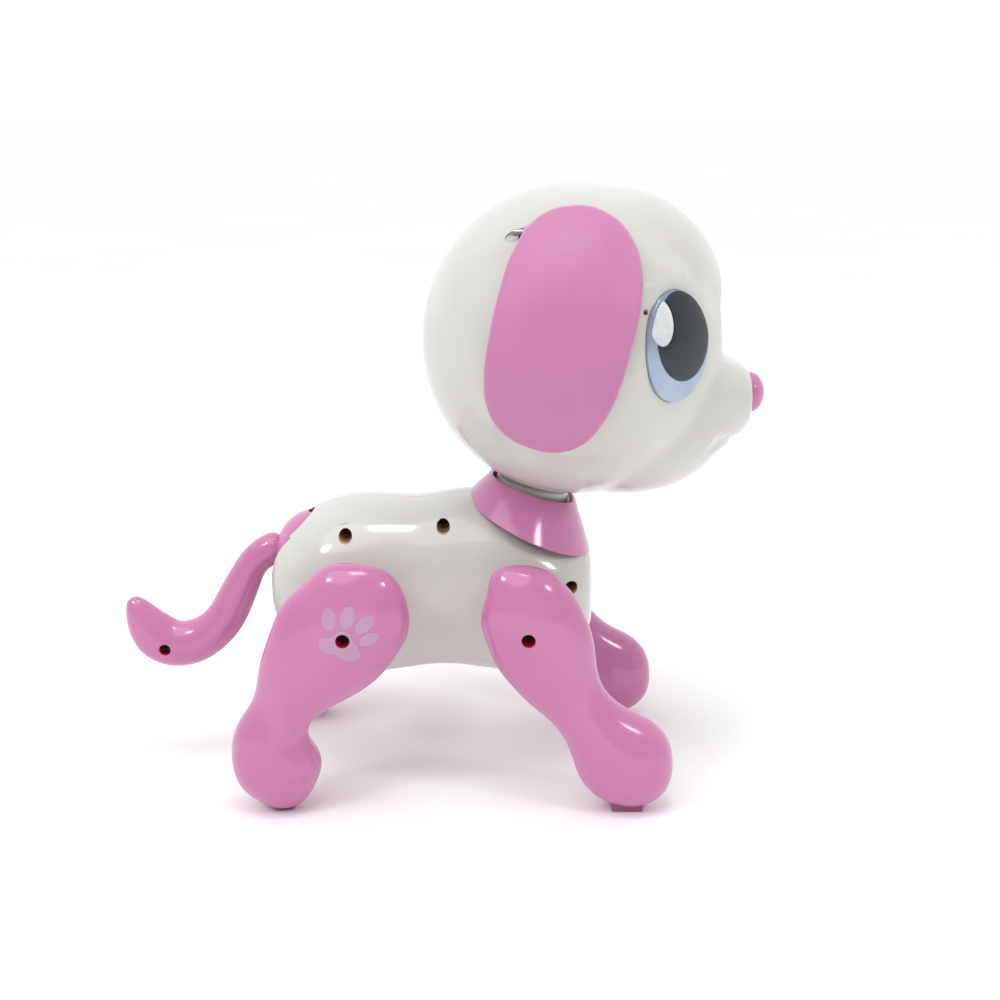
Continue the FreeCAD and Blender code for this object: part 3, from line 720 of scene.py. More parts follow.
@dataclass(frozen=True)
class BandedFinish(Finish):
    """A printed wrap: bands of two colours along X, as on the sleeve of a small cell."""

    band: str = "#2b3a44"
    band_length: float = 30.0

    def colour_source(self, tree: bpy.types.NodeTree, place: bpy.types.NodeSocket) -> bpy.types.NodeSocket:
        """Bands of colour along X.

        Args:
            tree: the material's node tree.
            place: the coordinate socket.

        Returns:
            The colour socket.
        """
        wave = add_node(
            tree, "ShaderNodeTexWave",
            {"bands_direction": "X", "Scale": 0.314 / (self.band_length * MM), "Distortion": 0.0},
            {"Vector": place},
        )
        ramp = add_node(tree, "ShaderNodeValToRGB", {}, {"Fac": wave.outputs["Fac"]})
        ramp.color_ramp.interpolation = "CONSTANT"
        ramp.color_ramp.elements[0].color = linear(self.band)
        ramp.color_ramp.elements[1].position = 0.35
        ramp.color_ramp.elements[1].color = linear(self.colour)
        return ramp.outputs["Color"]


# High-gloss moulded ABS: tight highlights, slightly milky body, faint drift where the melt flowed.
WHITE_ABS = Finish("white_abs_polished", "#d2d2cc", "#cccac4", 30.0, (0.12, 0.17), 2.4, 0.004,
                   ior=1.54, coat=0.2, subsurface=0.10)
PINK_ABS = Finish("pink_abs_polished", "#cc7eac", "#c677a5", 26.0, (0.13, 0.19), 2.4, 0.004,
                  ior=1.54, coat=0.2, subsurface=0.08)
# Painted glow: the walls of a deep moulded hole are coloured warm and deep, as light that has passed through
# the plastic would light them.
WHITE_BORE_PAINTED_GLOW = Finish("white_abs_bore_painted_glow", "#e3c08a", "#d2ac77", 4.0, (0.35, 0.45), 1.0, 0.006, ior=1.54)
PINK_BORE_PAINTED_GLOW = Finish("pink_abs_bore_painted_glow", "#d6305e", "#c42a54", 4.0, (0.35, 0.45), 1.0, 0.006, ior=1.54)
# Each pair: the skin's finish and the painted glow of its holes' walls.
WHITE_SKIN_AND_BORE_GLOW = (WHITE_ABS, WHITE_BORE_PAINTED_GLOW)
PINK_SKIN_AND_BORE_GLOW = (PINK_ABS, PINK_BORE_PAINTED_GLOW)
# Soft vinyl: a broad satin glow in place of sharp highlights.
PINK_VINYL = Finish("pink_vinyl_satin", "#c67ca9", "#c075a2", 24.0, (0.42, 0.50), 0.7, 0.012,
                    ior=1.52, sheen=0.25, subsurface=0.12)
# Thermoplastic rubber: a dull pink, painted deeper with the shade under the paws.
PINK_RUBBER_PAINTED_SHADE = Finish("pink_rubber_matt_painted_shade", "#a85f87", "#9c567c", 8.0, (0.55, 0.70), 0.5, 0.02, ior=1.52)
# Pad-printed ink: a thin, dull film over the gloss.
PRINT_INK = Finish("pale_print_ink", "#c49ab8", "#bd92b0", 12.0, (0.32, 0.42), 0.4, 0.01, ior=1.5)
# Vacuum-metallised lens under a blue-grey lacquer.
EYE_SILVER = Finish("eye_lacquered_silver", "#a9b6c9", "#98a6bd", 9.0, (0.16, 0.22), 1.5, 0.003,
                    metallic=0.55, coat=0.6)
EYE_GLINT = Finish("eye_bright_metal", "#f6f8f8", "#e6eaeb", 3.0, (0.05, 0.10), 1.2, 0.012,
                   metallic=0.35)
# Slate lacquer: almost black, with one soft reflection.
PUPIL_INK = Finish("pupil_slate_lacquer", "#2b3039", "#272c34", 10.0, (0.20, 0.26), 2.0, 0.003, ior=1.5)
# Bright zinc: small, slightly blurred glints.
STEEL = Finish("zinc_plated_steel", "#b9bab8", "#a7a8a6", 2.0, (0.25, 0.40), 0.3, 0.006, metallic=1.0)
# Screw steel painted dark brown as the shade at the bottom of their holes: almost no glint there.
SCREW_STEEL_PAINTED_SHADE = Finish("screw_steel_painted_shade", "#3a2c24", "#2e231d", 1.5, (0.40, 0.55), 0.3, 0.008,
                   metallic=0.6)
# Nickel-plated spring strip: warmer and smoother than zinc.
NICKEL = Finish("nickel_spring_steel", "#cbc8bf", "#bcb8ad", 2.0, (0.18, 0.30), 0.3, 0.004, metallic=1.0)
# Turned brass: fine rings round the axle.
BRASS = Finish("turned_brass", "#c9a24f", "#b78f40", 2.0, (0.22, 0.32), 0.25, 0.005,
               stretch=(1.0, 4.0, 1.0), metallic=1.0)
# Rolled can: grain drawn out along Y.
MOTOR_STEEL = Finish("rolled_motor_steel", "#a9acae", "#9a9da0", 6.0, (0.25, 0.36), 0.4, 0.005,
                     stretch=(1.0, 0.2, 1.0), metallic=1.0)
# Moulded inner parts: matt, with the tool's fine texture.
BLACK_ABS = Finish("black_abs_moulded", "#202225", "#26282b", 10.0, (0.35, 0.48), 0.5, 0.01, ior=1.54)
# Acetal gears and shafts: waxy and slightly see-through at the edges.
WHITE_POM = Finish("white_acetal", "#e9e8e2", "#dddcd4", 8.0, (0.28, 0.36), 0.6, 0.006,
                   ior=1.48, subsurface=0.15)
# Cast epoxy: clear as water.
LED_CLEAR = Finish("clear_epoxy", "#f4f6f8", "#e9edf2", 4.0, (0.03, 0.07), 1.0, 0.002,
                   ior=1.54, transmission=0.9)
# Shrunk sleeve: two plain bands and a smooth shine.
CELL_WRAP = BandedFinish("cell_sleeve", "#b9bdc2", "#aab0b6", 10.0, (0.22, 0.30), 0.8, 0.004, ior=1.5)
# Solder mask: green lacquer over a fine weave.
BOARD = Finish("green_solder_mask", "#2f7a4a", "#286b40", 1.2, (0.25, 0.40), 0.6, 0.02, ior=1.55)


# ------------------------------------------------------------------ head
@dataclass
class Eye:
    """An oval domed eye let into the head, with its pupil and the bright notch beside it."""

    side: Side
    azimuth: float = 51.0
    lift: float = 3.5
    half_width: float = 13.0
    half_height: float = 17.0
    shell_r: float = 50.1
    pupil_r: float = 50.55
    pupil_half: Place = (11.0, 13.6)
    pupil_shift: Place = (1.5, 3.1)
    glint_half: Place = (4.5, 7.2)
    glint_shift: Place = (-7.5, 7.9)

    def axes(self) -> Tuple[Vector, Vector, Vector]:
        """Unit vectors towards the nose across the eye, up it and out of it."""
        azimuth, lift = math.radians(self.azimuth), math.radians(self.lift)
        out = Vector((
            math.cos(azimuth) * math.cos(lift),
            self.side.value * math.sin(azimuth) * math.cos(lift),
            math.sin(lift),
        ))
        level = Vector((0, 0, 1)).cross(out).normalized() * -self.side.value
        return level, (Vector((0, 0, 1)) - out * out.z).normalized(), out

    def place(self, across: float, up: float, out: float) -> Vector:
        """A point given in the eye's own axes from the head's centre."""
        level, rise, ahead = self.axes()
        return Vector(HEAD) + level * across + rise * up + ahead * out

    def prism(
        self, name: str, half: Place, shift: Place, near: float = 40.0, far: float = 58.0
    ) -> Workpiece:
        """Oval prism along the eye's axis.

        Args:
            name: the tool's name.
            half: half width and half height.
            shift: its place across and up from the eye's axis.
            near: where it starts, from the head's centre.
            far: where it ends.

        Returns:
            The prism.
        """
        Workpiece.clear_bench()
        level, rise, ahead = self.axes()
        turn = Matrix((level, rise, ahead)).transposed()
        if turn.determinant() < 0:
            turn = Matrix((-level, rise, ahead)).transposed()
        bpy.ops.mesh.primitive_cylinder_add(
            vertices=96, radius=MM, depth=(far - near) * MM,
            location=metres(self.place(*shift, (near + far) / 2)), rotation=turn.to_euler(),
        )
        bpy.context.object.scale = (*half, 1)
        return Workpiece.fresh(name)

    def dome(self, name: str, outer: float, inner: float) -> Workpiece:
        """Part of a hollow ball about the head's centre."""
        ball = Workpiece.ball(name, HEAD, (outer,) * 3, segments=160)
        ball.cut(Workpiece.ball("inside", HEAD, (inner,) * 3, segments=96))
        return ball

    def build(self) -> None:
        """Model and dress the eye's three layers."""
        word = self.side.word
        shell = self.dome(f"eye_dome_{word}", self.shell_r, HEAD_R - 2.2)
        shell.keep(self.prism("opening", (self.half_width - 0.12, self.half_height - 0.12), (0, 0)))
        shell.round_edges(0.35)
        shell.finish("head", "eye_silver", EYE_SILVER, [f"eye_shell_{word}"])
        pupil = self.dome(f"pupil_{word}", self.pupil_r, self.shell_r - 0.2)
        pupil.keep(
            self.prism("pupil_outline", self.pupil_half, self.pupil_shift),
            self.prism("opening", (self.half_width - 0.3, self.half_height - 0.3), (0, 0)),
        )
        pupil.cut(self.prism("notch", self.glint_half, self.glint_shift))
        pupil.round_edges(0.12, segments=2)
        pupil.finish("head", "eye_dark", PUPIL_INK, [f"eye_pupil_{word}"])
        glint = self.dome(f"eye_glint_{word}", self.shell_r + 0.2, self.shell_r - 0.2)
        wide, tall = self.glint_half
        glint.keep(
            self.prism("glint_outline", (wide - 0.25, tall - 0.25), self.glint_shift),
            self.prism("opening", (self.half_width - 1.2, self.half_height - 1.2), (0, 0)),
        )
        glint.finish("head", "eye_silver", EYE_GLINT)


@dataclass
class Ear:
    """A curved soft ear flap with the tab and barrel it hangs from."""

    outline: Sequence[Place] = (
        (42.5, 191.0), (52.0, 189.0), (59.0, 182.5), (61.9, 173.0), (61.2, 163.0), (58.6, 152.0),
        (55.4, 140.0), (51.0, 129.5), (45.0, 121.8), (38.0, 118.8), (29.0, 120.0), (20.6, 124.8),
        (16.2, 132.5), (15.3, 142.0), (16.8, 154.0), (19.8, 167.0), (24.0, 178.5), (31.0, 187.4),
    )
    under_r: float = 51.0
    over_r: float = 48.6
    crown: float = 4.3
    aim: Point = (-0.088, -0.970, 0.225)
    pin: Place = (-29.5, 183.0)

    def build(self) -> None:
        """Model the right ear and mirror it."""
        flap = Workpiece.prism("ear_flap_right", self.outline, -90.0, -10.0)
        middle = Vector(HEAD) + Vector(self.aim) * (self.under_r + self.crown - self.over_r)
        flap.keep(Workpiece.ball("crown", middle, (self.over_r,) * 3, segments=128))
        flap.cut(Workpiece.ball("underside", HEAD, (self.under_r,) * 3, segments=128))
        pin_y, pin_z = self.pin
        tab = Workpiece.block("tab", (31.5, pin_y - 6.0, pin_z - 1.3), (43.0, pin_y, pin_z + 1.3))
        self.lean(tab)
        barrel = Workpiece.rod("barrel", (27.0, pin_y, pin_z), (43.0, pin_y, pin_z), 2.0)
        flap.gather(tab, barrel)
        flap.melt(0.62, 14)
        left = flap.twin("ear_flap_left")
        flap.finish("ear_right", "pink_soft", PINK_VINYL, ["ear_right"], sharp=80)
        left.finish("ear_left", "pink_soft", PINK_VINYL, ["ear_left"], sharp=80)

    def lean(self, piece: Workpiece) -> None:
        """Turn a level piece about the ear's pin until it stands square to the skull."""
        pin_y, pin_z = self.pin
        piece.edit()
        bpy.ops.transform.rotate(
            value=math.atan2(pin_z - HEAD[2], -pin_y), orient_axis="X",
            center_override=metres((0, pin_y, pin_z)),
        )
        piece.done()


@dataclass
class Head:
    """Ball head with its jaw, muzzle, eye sockets and mouth, moulded as two halves."""

    skull_centre: Point = (43.9, 0.0, 146.4)
    skull_radii: Point = (48.8, 49.5, 50.1)
    forehead_centre: Point = (55.4, 0.0, 159.2)
    forehead_radii: Point = (36.2, 36.0, 36.2)
    jaw_centre: Point = (60.5, 0.0, 120.2)
    jaw_radii: Point = (34.0, 29.5, 24.3)
    peg_hole: Point = (63.4, -43.5, 161.2)
    muzzle: Sequence[Ring] = (
        Ring(72.0, 127.0, 21.5, 28.0), Ring(84.0, 128.2, 21.2, 25.5), Ring(92.0, 127.8, 17.2, 21.2),
        Ring(97.6, 127.2, 12.6, 16.0), Ring(100.7, 127.8, 9.5, 12.4), Ring(101.6, 128.2, 7.8, 10.4),
    )
    screws: Sequence[Place] = ((31.0, 166.0), (45.0, 130.0))
    neck_hole_r: float = 10.6
    nose_hole_r: float = 2.3
    peg_hole_r: float = 0.85
    seam: float = 0.06
    eyes: Sequence[Eye] = field(default_factory=lambda: (Eye(Side.RIGHT), Eye(Side.LEFT)))

    def form(self, name: str, inset: float, voxel: float, passes: int) -> Workpiece:
        """The head's closed form, or its hollow.

        Args:
            name: the piece's name.
            inset: how far inside the outer skin it lies.
            voxel: the mesh size.
            passes: how often it is smoothed.

        Returns:
            The closed form.
        """
        skull, forehead, jaw = (
            Workpiece.ball(name, centre, tuple(radius - inset for radius in radii))
            for centre, radii in (
                (self.skull_centre, self.skull_radii), (self.forehead_centre, self.forehead_radii),
                (self.jaw_centre, self.jaw_radii),
            )
        )
        rings = [replace(ring.inset(inset), x=ring.x - inset) for ring in self.muzzle]
        muzzle = Workpiece.loft("muzzle", rings, sides=24, levels=2, tilts=[90.0] * len(rings))
        skull.gather(forehead, jaw, muzzle)
        skull.melt(voxel, passes)
        return skull

    def sculpt(self, skin: Workpiece) -> None:
        """Press the sockets, brows, mouth and nose seat into the skin."""
        # the dip between forehead and muzzle
        skin.press((92.6, 0.0, 149.0), 6.0, (-2.6, 0.0, 0.0), 12.0)
        for eye in self.eyes:
            out = eye.axes()[2]
            # a shallow seat down the eye's middle, then the brow above it
            for step in range(-4, 5):
                up = step * 4.0
                middle = eye.place(0.0, up, HEAD_R * math.sqrt(1 - (up / HEAD_R) ** 2))
                skin.press(middle, 7.5, -out * 0.28, 9.0)
            for across, up, lift in ((-9.5, 17.0, 0.9), (-3.0, 21.0, 1.0), (4.5, 20.0, 0.9)):
                middle = eye.place(across, up, math.sqrt(HEAD_R ** 2 - across ** 2 - up ** 2))
                skin.press(middle, 2.0, out * lift, 7.0)
            # the mouth's crease, ending in a dimple
            sign = eye.side.value
            for x, y, z in ((98.4, 2.5, 114.0), (97.6, 6.0, 114.2), (95.9, 9.6, 114.6), (93.4, 13.0, 115.2)):
                skin.press((x, sign * y, z), 1.2, (-0.8, -sign * 0.25, 0.25), 4.4)
            skin.press((90.6, sign * 16.2, 115.6), 1.6, (-0.7, -sign * 1.3, 0.1), 5.0)

    def build(self) -> None:
        """Model both halves, then the eyes."""
        skin = self.form("head_half_right", 0.0, 1.0, 26)
        self.sculpt(skin)
        skin.keep_side(Side.RIGHT, 30.0)
        hollow = self.form("head_hollow", WALL, 1.7, 8)
        skin.wall_in(hollow, Side.RIGHT, -self.seam, 0.18)
        skin.cut(
            self.eyes[0].prism("opening", (self.eyes[0].half_width, self.eyes[0].half_height), (0, 0)),
            Workpiece.rod("neck_hole", *neck_line(62, 38), self.neck_hole_r),
            Workpiece.rod("nose_hole", (94.0, 0, 129.0), (110.0, 0, 129.0), self.nose_hole_r),
            Workpiece.rod("peg_hole", HEAD, Vector(HEAD).lerp(Vector(self.peg_hole), 1.04), self.peg_hole_r),
            self.ear_slot(),
        )
        left = skin.twin("head_half_left")
        for x, z in self.screws:
            skin.screw_hole(WHITE_SKIN_AND_BORE_GLOW, (x, z), (-self.boss_reach(x, z), -0.3), -6.0)
        skin.finish("head", "white_abs", WHITE_ABS, ["head_shell_right"])
        left.finish("head", "white_abs", WHITE_ABS, ["head_shell_left"])
        for eye in self.eyes:
            eye.build()

    @staticmethod
    def boss_reach(x: float, z: float) -> float:
        """How far out a screw boss goes to end inside the wall."""
        return math.sqrt((HEAD_R - 1.0) ** 2 - (x - HEAD[0]) ** 2 - (z - HEAD[2]) ** 2) - 2.2

    def ear_slot(self) -> Workpiece:
        """Rounded slot that the ear's tab passes through."""
        ear = Ear()
        pin_y, pin_z = ear.pin
        slot = Workpiece.block("slot", (24.0, pin_y - 20.0, pin_z - 2.4), (46.0, pin_y + 3.0, pin_z + 2.4))
        for x in (24.0, 46.0):
            slot.add(Workpiece.rod("slot_end", (x, pin_y - 20.0, pin_z), (x, pin_y + 3.0, pin_z), 2.4))
        ear.lean(slot)
        return slot


@dataclass
class Nose:
    """Button nose seated on the muzzle's flat front."""

    centre: Point = (101.8, 0.0, 129.0)
    radii: Point = (4.6, 6.6, 6.6)

    def build(self) -> None:
        """Model the button with its peg."""
        button = Workpiece.ball("nose_button", self.centre, self.radii, segments=64)
        x = self.centre[0]
        button.keep(Workpiece.block("front", (x - 0.6, -10, 115), (x + 12, 10, 145)))
        button.round_edges(0.4)
        button.add(Workpiece.rod("peg", (x - 8.0, 0, 129.0), (x, 0, 129.0), 2.2))
        button.finish("head", "pink_abs", PINK_ABS, ["nose"])


@dataclass
class Neck:
    """Stepped neck that turns in the body, and the collar it rises from."""

    profile: Sequence[Place] = (
        (-68.2, 8.8), (-66.2, 8.8), (-66.2, 7.0), (-56.8, 7.0), (-56.8, 10.0), (-54.6, 10.0),
        (-54.2, 12.2), (-49.8, 12.2), (-49.2, 10.4), (-46.6, 10.2),
    )
    bore: float = 4.5
    # collar circles: centre x and z, half length, half width, tilt
    collar_rings: Sequence[Tuple[float, float, float, float, float]] = (
        (29.9, 85.2, 22.6, 25.4, 25.0), (30.5, 91.1, 19.0, 21.4, 22.2), (31.0, 95.8, 15.9, 17.6, 19.6),
        (31.2, 97.3, 15.1, 16.4, 18.6), (31.25, 97.7, 14.6, 15.9, 18.4), (31.2, 97.3, 14.0, 15.3, 18.4),
        (30.9, 94.6, 14.2, 15.2, 19.0), (30.4, 91.0, 15.4, 16.2, 20.0),
    )

    def build(self) -> None:
        """Model the neck and the collar."""
        self.build_neck()
        self.build_collar()

    def build_neck(self) -> None:
        """Spin the neck's stepped profile about its leaning axis."""
        neck = Workpiece.blank("neck_post")
        corners = [(distance, radius) for distance, radius in self.profile]
        corners += [(self.profile[-1][0], self.bore), (self.profile[0][0], self.bore)]
        mesh = bmesh.from_edit_mesh(neck.obj.data)
        knots = [
            mesh.verts.new(metres(Vector(HEAD) + NECK_AXIS * distance + Vector((0, radius, 0))))
            for distance, radius in corners
        ]
        for a, b in zip(knots, knots[1:] + knots[:1]):
            mesh.edges.new((a, b))
        bmesh.update_edit_mesh(neck.obj.data)
        bpy.ops.mesh.select_all(action="SELECT")
        bpy.ops.mesh.spin(steps=72, angle=2 * math.pi, center=metres(HEAD), axis=NECK_AXIS)
        bpy.ops.mesh.select_all(action="SELECT")
        bpy.ops.mesh.remove_doubles(threshold=0.01 * MM)
        bpy.ops.mesh.normals_make_consistent(inside=False)
        neck.done()
        neck.round_edges(0.35, segments=2, steeper=40.0)
        neck.face_outwards()
        neck.finish("head", "white_abs", WHITE_ABS, ["neck_stem"])

    def build_collar(self) -> None:
        """Bridge the collar's circles into a cone with a rolled rim."""
        collar = Workpiece.blank("collar_cone")
        for x, z, half_length, half_width, tilt in self.collar_rings:
            centre = metres((x, 0, z))
            bpy.ops.mesh.primitive_circle_add(vertices=72, radius=MM, location=centre)
            bpy.ops.transform.resize(value=(half_length, half_width, 1), center_override=centre)
            bpy.ops.transform.rotate(
                value=-math.radians(tilt), orient_axis="Y", center_override=centre
            )
        count = len(self.collar_rings)
        bpy.ops.mesh.select_mode(type="VERT")
        for index in range(count - 1):
            bpy.ops.mesh.select_all(action="DESELECT")
            mesh = bmesh.from_edit_mesh(collar.obj.data)
            mesh.verts.ensure_lookup_table()
            collar.pick(mesh, mesh.verts[72 * index:72 * (index + 2)])
            bpy.ops.mesh.bridge_edge_loops()
        collar.orient()
        collar.done()
        collar.modify("SOLIDIFY", thickness=0.8 * MM, offset=-1.0, use_even_offset=True)
        collar.face_outwards()
        collar.finish("body", "pink_abs", PINK_ABS, ["collar"])


# ------------------------------------------------------------------ body
@dataclass
class Body:
    """Two hollow body halves with their holes, bearings, belly hatch and speaker grille."""

    # body sections: place along X, lowest z, highest z, half width, squareness
    rings: Sequence[Tuple[float, float, float, float, float]] = (
        (-56.0, 58.5, 71.5, 7.0, 2.2), (-54.4, 52.0, 77.5, 14.0, 2.3), (-50.0, 44.8, 83.0, 20.0, 2.4),
        (-42.0, 38.4, 89.2, 24.6, 2.4), (-32.0, 35.2, 93.2, 27.0, 2.4), (-20.0, 34.6, 94.0, 27.0, 2.4),
        (-6.0, 36.4, 93.5, 25.4, 2.4), (6.0, 37.0, 95.2, 25.4, 2.5), (18.0, 36.0, 94.0, 26.8, 2.7),
        (30.0, 36.2, 88.2, 27.2, 2.9), (40.0, 39.0, 83.2, 25.4, 2.9), (47.0, 43.5, 79.4, 20.8, 2.7),
        (50.0, 49.0, 76.0, 14.8, 2.5), (51.0, 54.5, 71.0, 8.0, 2.3),
    )
    # screws: x, z and how far their bosses stand out; hatch: rear end, front end and half width
    screws: Sequence[Point] = ((-29.5, 85.8, 18.6), (1.9, 88.3, 15.0), (43.0, 69.2, 21.6))
    hips: Sequence[float] = (FRONT_HIP_X, REAR_HIP_X)
    hatch: Point = (-33.5, 23.5, 16.0)
    rump_r: float = 14.65
    bearing_r: float = 7.0
    hip_hole_r: float = 4.06
    neck_hole_r: float = 7.06
    grille_hole_r: float = 0.9
    seam: float = 0.06

    def form(self, name: str, inset: float, levels: int) -> Workpiece:
        """The body's closed form, or its hollow.

        Args:
            name: the piece's name.
            inset: how far inside the outer skin it lies.
            levels: how often the cage is subdivided.

        Returns:
            The closed form.
        """
        first, last = self.rings[0][0], self.rings[-1][0]
        middle = (first + last) / 2
        squeeze = 1 - 2 * inset / (last - first)
        rings = [
            Ring(middle + (x - middle) * squeeze, (low + high) / 2, (high - low) / 2, half, power)
            for x, low, high, half, power in self.rings
        ]
        rings = [ring.inset(inset) for ring in rings]
        return Workpiece.loft(name, rings, sides=24, levels=levels, tilts=[90.0] * len(rings))

    def build(self) -> None:
        """Model the two halves and the hatch."""
        rear, front, half = self.hatch
        lid = self.form("hatch_cover", 0.0, 3)
        lid.cut(self.form("lid_hollow", WALL, 2))
        lid.keep(Workpiece.block("lid_space", (rear, -half, 20), (front, half, 45)))
        lid.cut(Workpiece.rod("lid_screw", (rear + 3.3, 0, 30), (rear + 3.3, 0, 50), 2.1))
        lid.round_edges(0.25, segments=2)
        for side in Side:
            self.build_half(side)
        lid.finish("body", "white_abs", WHITE_ABS, ["battery_hatch"])

    def build_half(self, side: Side) -> None:
        """Model one half.

        Args:
            side: which half.
        """
        sign = side.value
        shell = self.form(f"body_half_{side.word}", 0.0, 3)
        shell.wall_in(self.form("body_hollow", WALL, 2), side, sign * self.seam, 0.2)
        rear, front, half = self.hatch
        for x in self.hips:
            places = [(x, sign * y, HIP_Z) for y in (20.0, 24.0, 28.8, 35.0)]
            shell.add(Workpiece.rod("bearing", *places[1:3], self.bearing_r))
            shell.cut(Workpiece.rod("hip_hole", places[0], places[3], self.hip_hole_r))
        shell.cut(
            Workpiece.block("hatch_space", (rear - 0.2, -half - 0.2, 20), (front + 0.2, half + 0.2, 46)),
            Workpiece.ball("rump_space", RUMP, (self.rump_r,) * 3),
            Workpiece.block("tail_space", (-60, -11, 69.2), (-44, 11, 82.5)),
            Workpiece.rod("neck_hole", *neck_line(80, 40), self.neck_hole_r),
            Workpiece.block("switch_slot", (-43.3, -1.7, 30), (-34.7, 1.7, 44)),
        )
        grille = [(x, sign * y) for x in (30.0, 35.0, 40.0) for y in (2.2, 6.0)]
        shell.cut(*(
            Workpiece.rod("grille", (x, y, 26), (x, y, 56), self.grille_hole_r, sides=20)
            for x, y in grille
        ))
        if side is Side.RIGHT:
            for x, z, reach in self.screws:
                shell.screw_hole(WHITE_SKIN_AND_BORE_GLOW, (x, z), (1.4 - reach, -0.3), -6.0)
        shell.finish("body", "white_abs", WHITE_ABS, [f"body_shell_{side.word}"])


# ------------------------------------------------------------------ legs
@dataclass
class PawPrint:
    """Printed paw mark: toes as ovals and a three-lobed pad, in the thigh's own plane.

    Each toe is x, z, half width, half height and lean in degrees from the hip hole's middle.
    """

    toes: Sequence[Tuple[float, float, float, float, float]] = (
        (-4.1, 6.9, 2.25, 3.6, 2.0), (1.75, 7.6, 2.3, 3.7, -16.0),
        (6.9, 5.3, 2.2, 3.6, -45.0), (8.1, 0.4, 1.95, 3.1, -68.0),
    )
    pad: Sequence[Place] = (
        (0.0, 3.4), (2.3, 2.4), (3.2, 0.2), (4.9, -2.6), (5.2, -5.2), (3.2, -6.7), (0.6, -6.2),
        (-2.4, -4.3), (-5.6, -3.6), (-7.2, -1.6), (-6.6, 0.9), (-4.2, 1.3), (-2.3, 2.4),
    )
    film: float = 0.1

    def outlines(self, x: float, z: float) -> list:
        """The marks' outlines round a hip hole.

        Args:
            x: the hole's place along X.
            z: its height.

        Returns:
            A list of point lists.
        """
        marks = [[(x + px, z + pz) for px, pz in self.pad]]
        for cx, cz, wide, tall, lean in self.toes:
            turn = math.radians(lean)
            oval = []
            for step in range(10):
                angle = 2 * math.pi * step / 10
                across, up = wide * math.cos(angle), tall * math.sin(angle)
                oval.append((
                    x + cx + across * math.cos(turn) - up * math.sin(turn),
                    z + cz + across * math.sin(turn) + up * math.cos(turn),
                ))
            marks.append(oval)
        return marks


@dataclass
class Leg:
    """A hollow leg in two halves with its rubber foot pad; the left one mirrors the right."""

    end: str
    hip_x: float
    rings: Sequence[Ring]
    pad: Point
    mark: Optional[PawPrint] = None
    seam: float = 0.07
    post_r: float = 5.6
    socket_r: float = 4.02

    def form(self, name: str, grow: float, levels: int) -> Workpiece:
        """The leg's closed form at its place, grown or shrunk by a skin.

        Args:
            name: the piece's name.
            grow: how far outside the drawn rings it lies.
            levels: how often the cage is subdivided.

        Returns:
            The closed form.
        """
        rings = [ring.inset(-grow) for ring in self.rings if grow >= 0 or ring.deep > 2 - grow]
        leg = Workpiece.loft(name, rings, levels=levels)
        leg.take()
        bpy.ops.transform.translate(value=(0, -LEG_Y * MM, 0))
        leg.settle()
        return leg

    def half(self, side: Side, part: str) -> Workpiece:
        """One half of the right leg.

        Args:
            side: which side of the leg's own parting plane it is.
            part: its word in the piece's name.

        Returns:
            The half.
        """
        parting = -LEG_Y + side.value * self.seam
        shell = self.form(f"{self.end}_leg_{part}_right", 0.0, 3)
        shell.wall_in(self.form("leg_hollow", -WALL, 2), side, parting, 0.22)
        return shell

    def build(self) -> None:
        """Model the right leg's pieces and mirror them."""
        x, y = self.hip_x, -LEG_Y
        outer = self.half(Side.RIGHT, "outer")
        outer.screw_hole(
            PINK_SKIN_AND_BORE_GLOW, (x, HIP_Z), (y - 8.2, y - 0.2), y - 3.0, plane=y, boss_r=self.post_r
        )
        inner = self.half(Side.LEFT, "inner")
        inner.add(Workpiece.rod("post", (x, y + 0.2, HIP_Z), (x, y + 8.2, HIP_Z), self.post_r))
        inner.cut(
            Workpiece.rod("socket", (x, -36.0, HIP_Z), (x, -20.0, HIP_Z), self.socket_r),
            Workpiece.rod("shank", (x, -41.0, HIP_Z), (x, -35.0, HIP_Z), SHANK_R),
        )
        low, high, deep = self.pad
        sole = Workpiece.block(f"{self.end}_foot_pad_right", (low, y - deep, 0.0), (high, y + deep, 8.0))
        sole.round_edges(0.6)
        sole.cut(self.form("sole_seat", 0.0, 3))
        self.mount(outer, "pink_abs", PINK_ABS, f"leg_outer_{self.end}")
        self.mount(inner, "pink_abs", PINK_ABS, f"leg_inner_{self.end}")
        # The foot pads' deeper pink holds painted shade from under the paws.
        self.mount(sole, "pink_rubber", PINK_RUBBER_PAINTED_SHADE, f"foot_pad_{self.end}")
        if self.mark is not None:
            self.mount(self.print_mark(self.mark), "pink_rubber", PRINT_INK, None)

    def print_mark(self, mark: PawPrint) -> Workpiece:
        """The printed paw as a film on the thigh.

        Args:
            mark: the mark's drawing.

        Returns:
            The film.
        """
        film = self.form(f"{self.end}_paw_print_right", mark.film, 3)
        film.cut(self.form("under_film", -0.3, 3))
        outlines = mark.outlines(self.hip_x, HIP_Z)
        stamps = [Workpiece.prism("stamp", outline, -60.0, -42.0) for outline in outlines]
        stamps[0].gather(*stamps[1:])
        film.keep(stamps[0])
        film.cut(Workpiece.rod("hole", (self.hip_x, -80.0, HIP_Z), (self.hip_x, -40.0, HIP_Z), 2.25))
        return film

    def mount(self, piece: Workpiece, slot: str, look: Finish, node: Optional[str]) -> None:
        """Dress a right-hand piece and its mirrored twin.

        Args:
            piece: the right-hand piece.
            slot: its material slot.
            look: its finish.
            node: the frame's node that it stands for, without its side.
        """
        left = piece.twin(piece.obj.name.replace("_right", "_left"))
        for side, item in zip(Side, (piece, left)):
            nodes = [f"{node}_{side.word}"] if node else []
            item.finish(f"leg_{self.end}_{side.word}", slot, look, nodes)


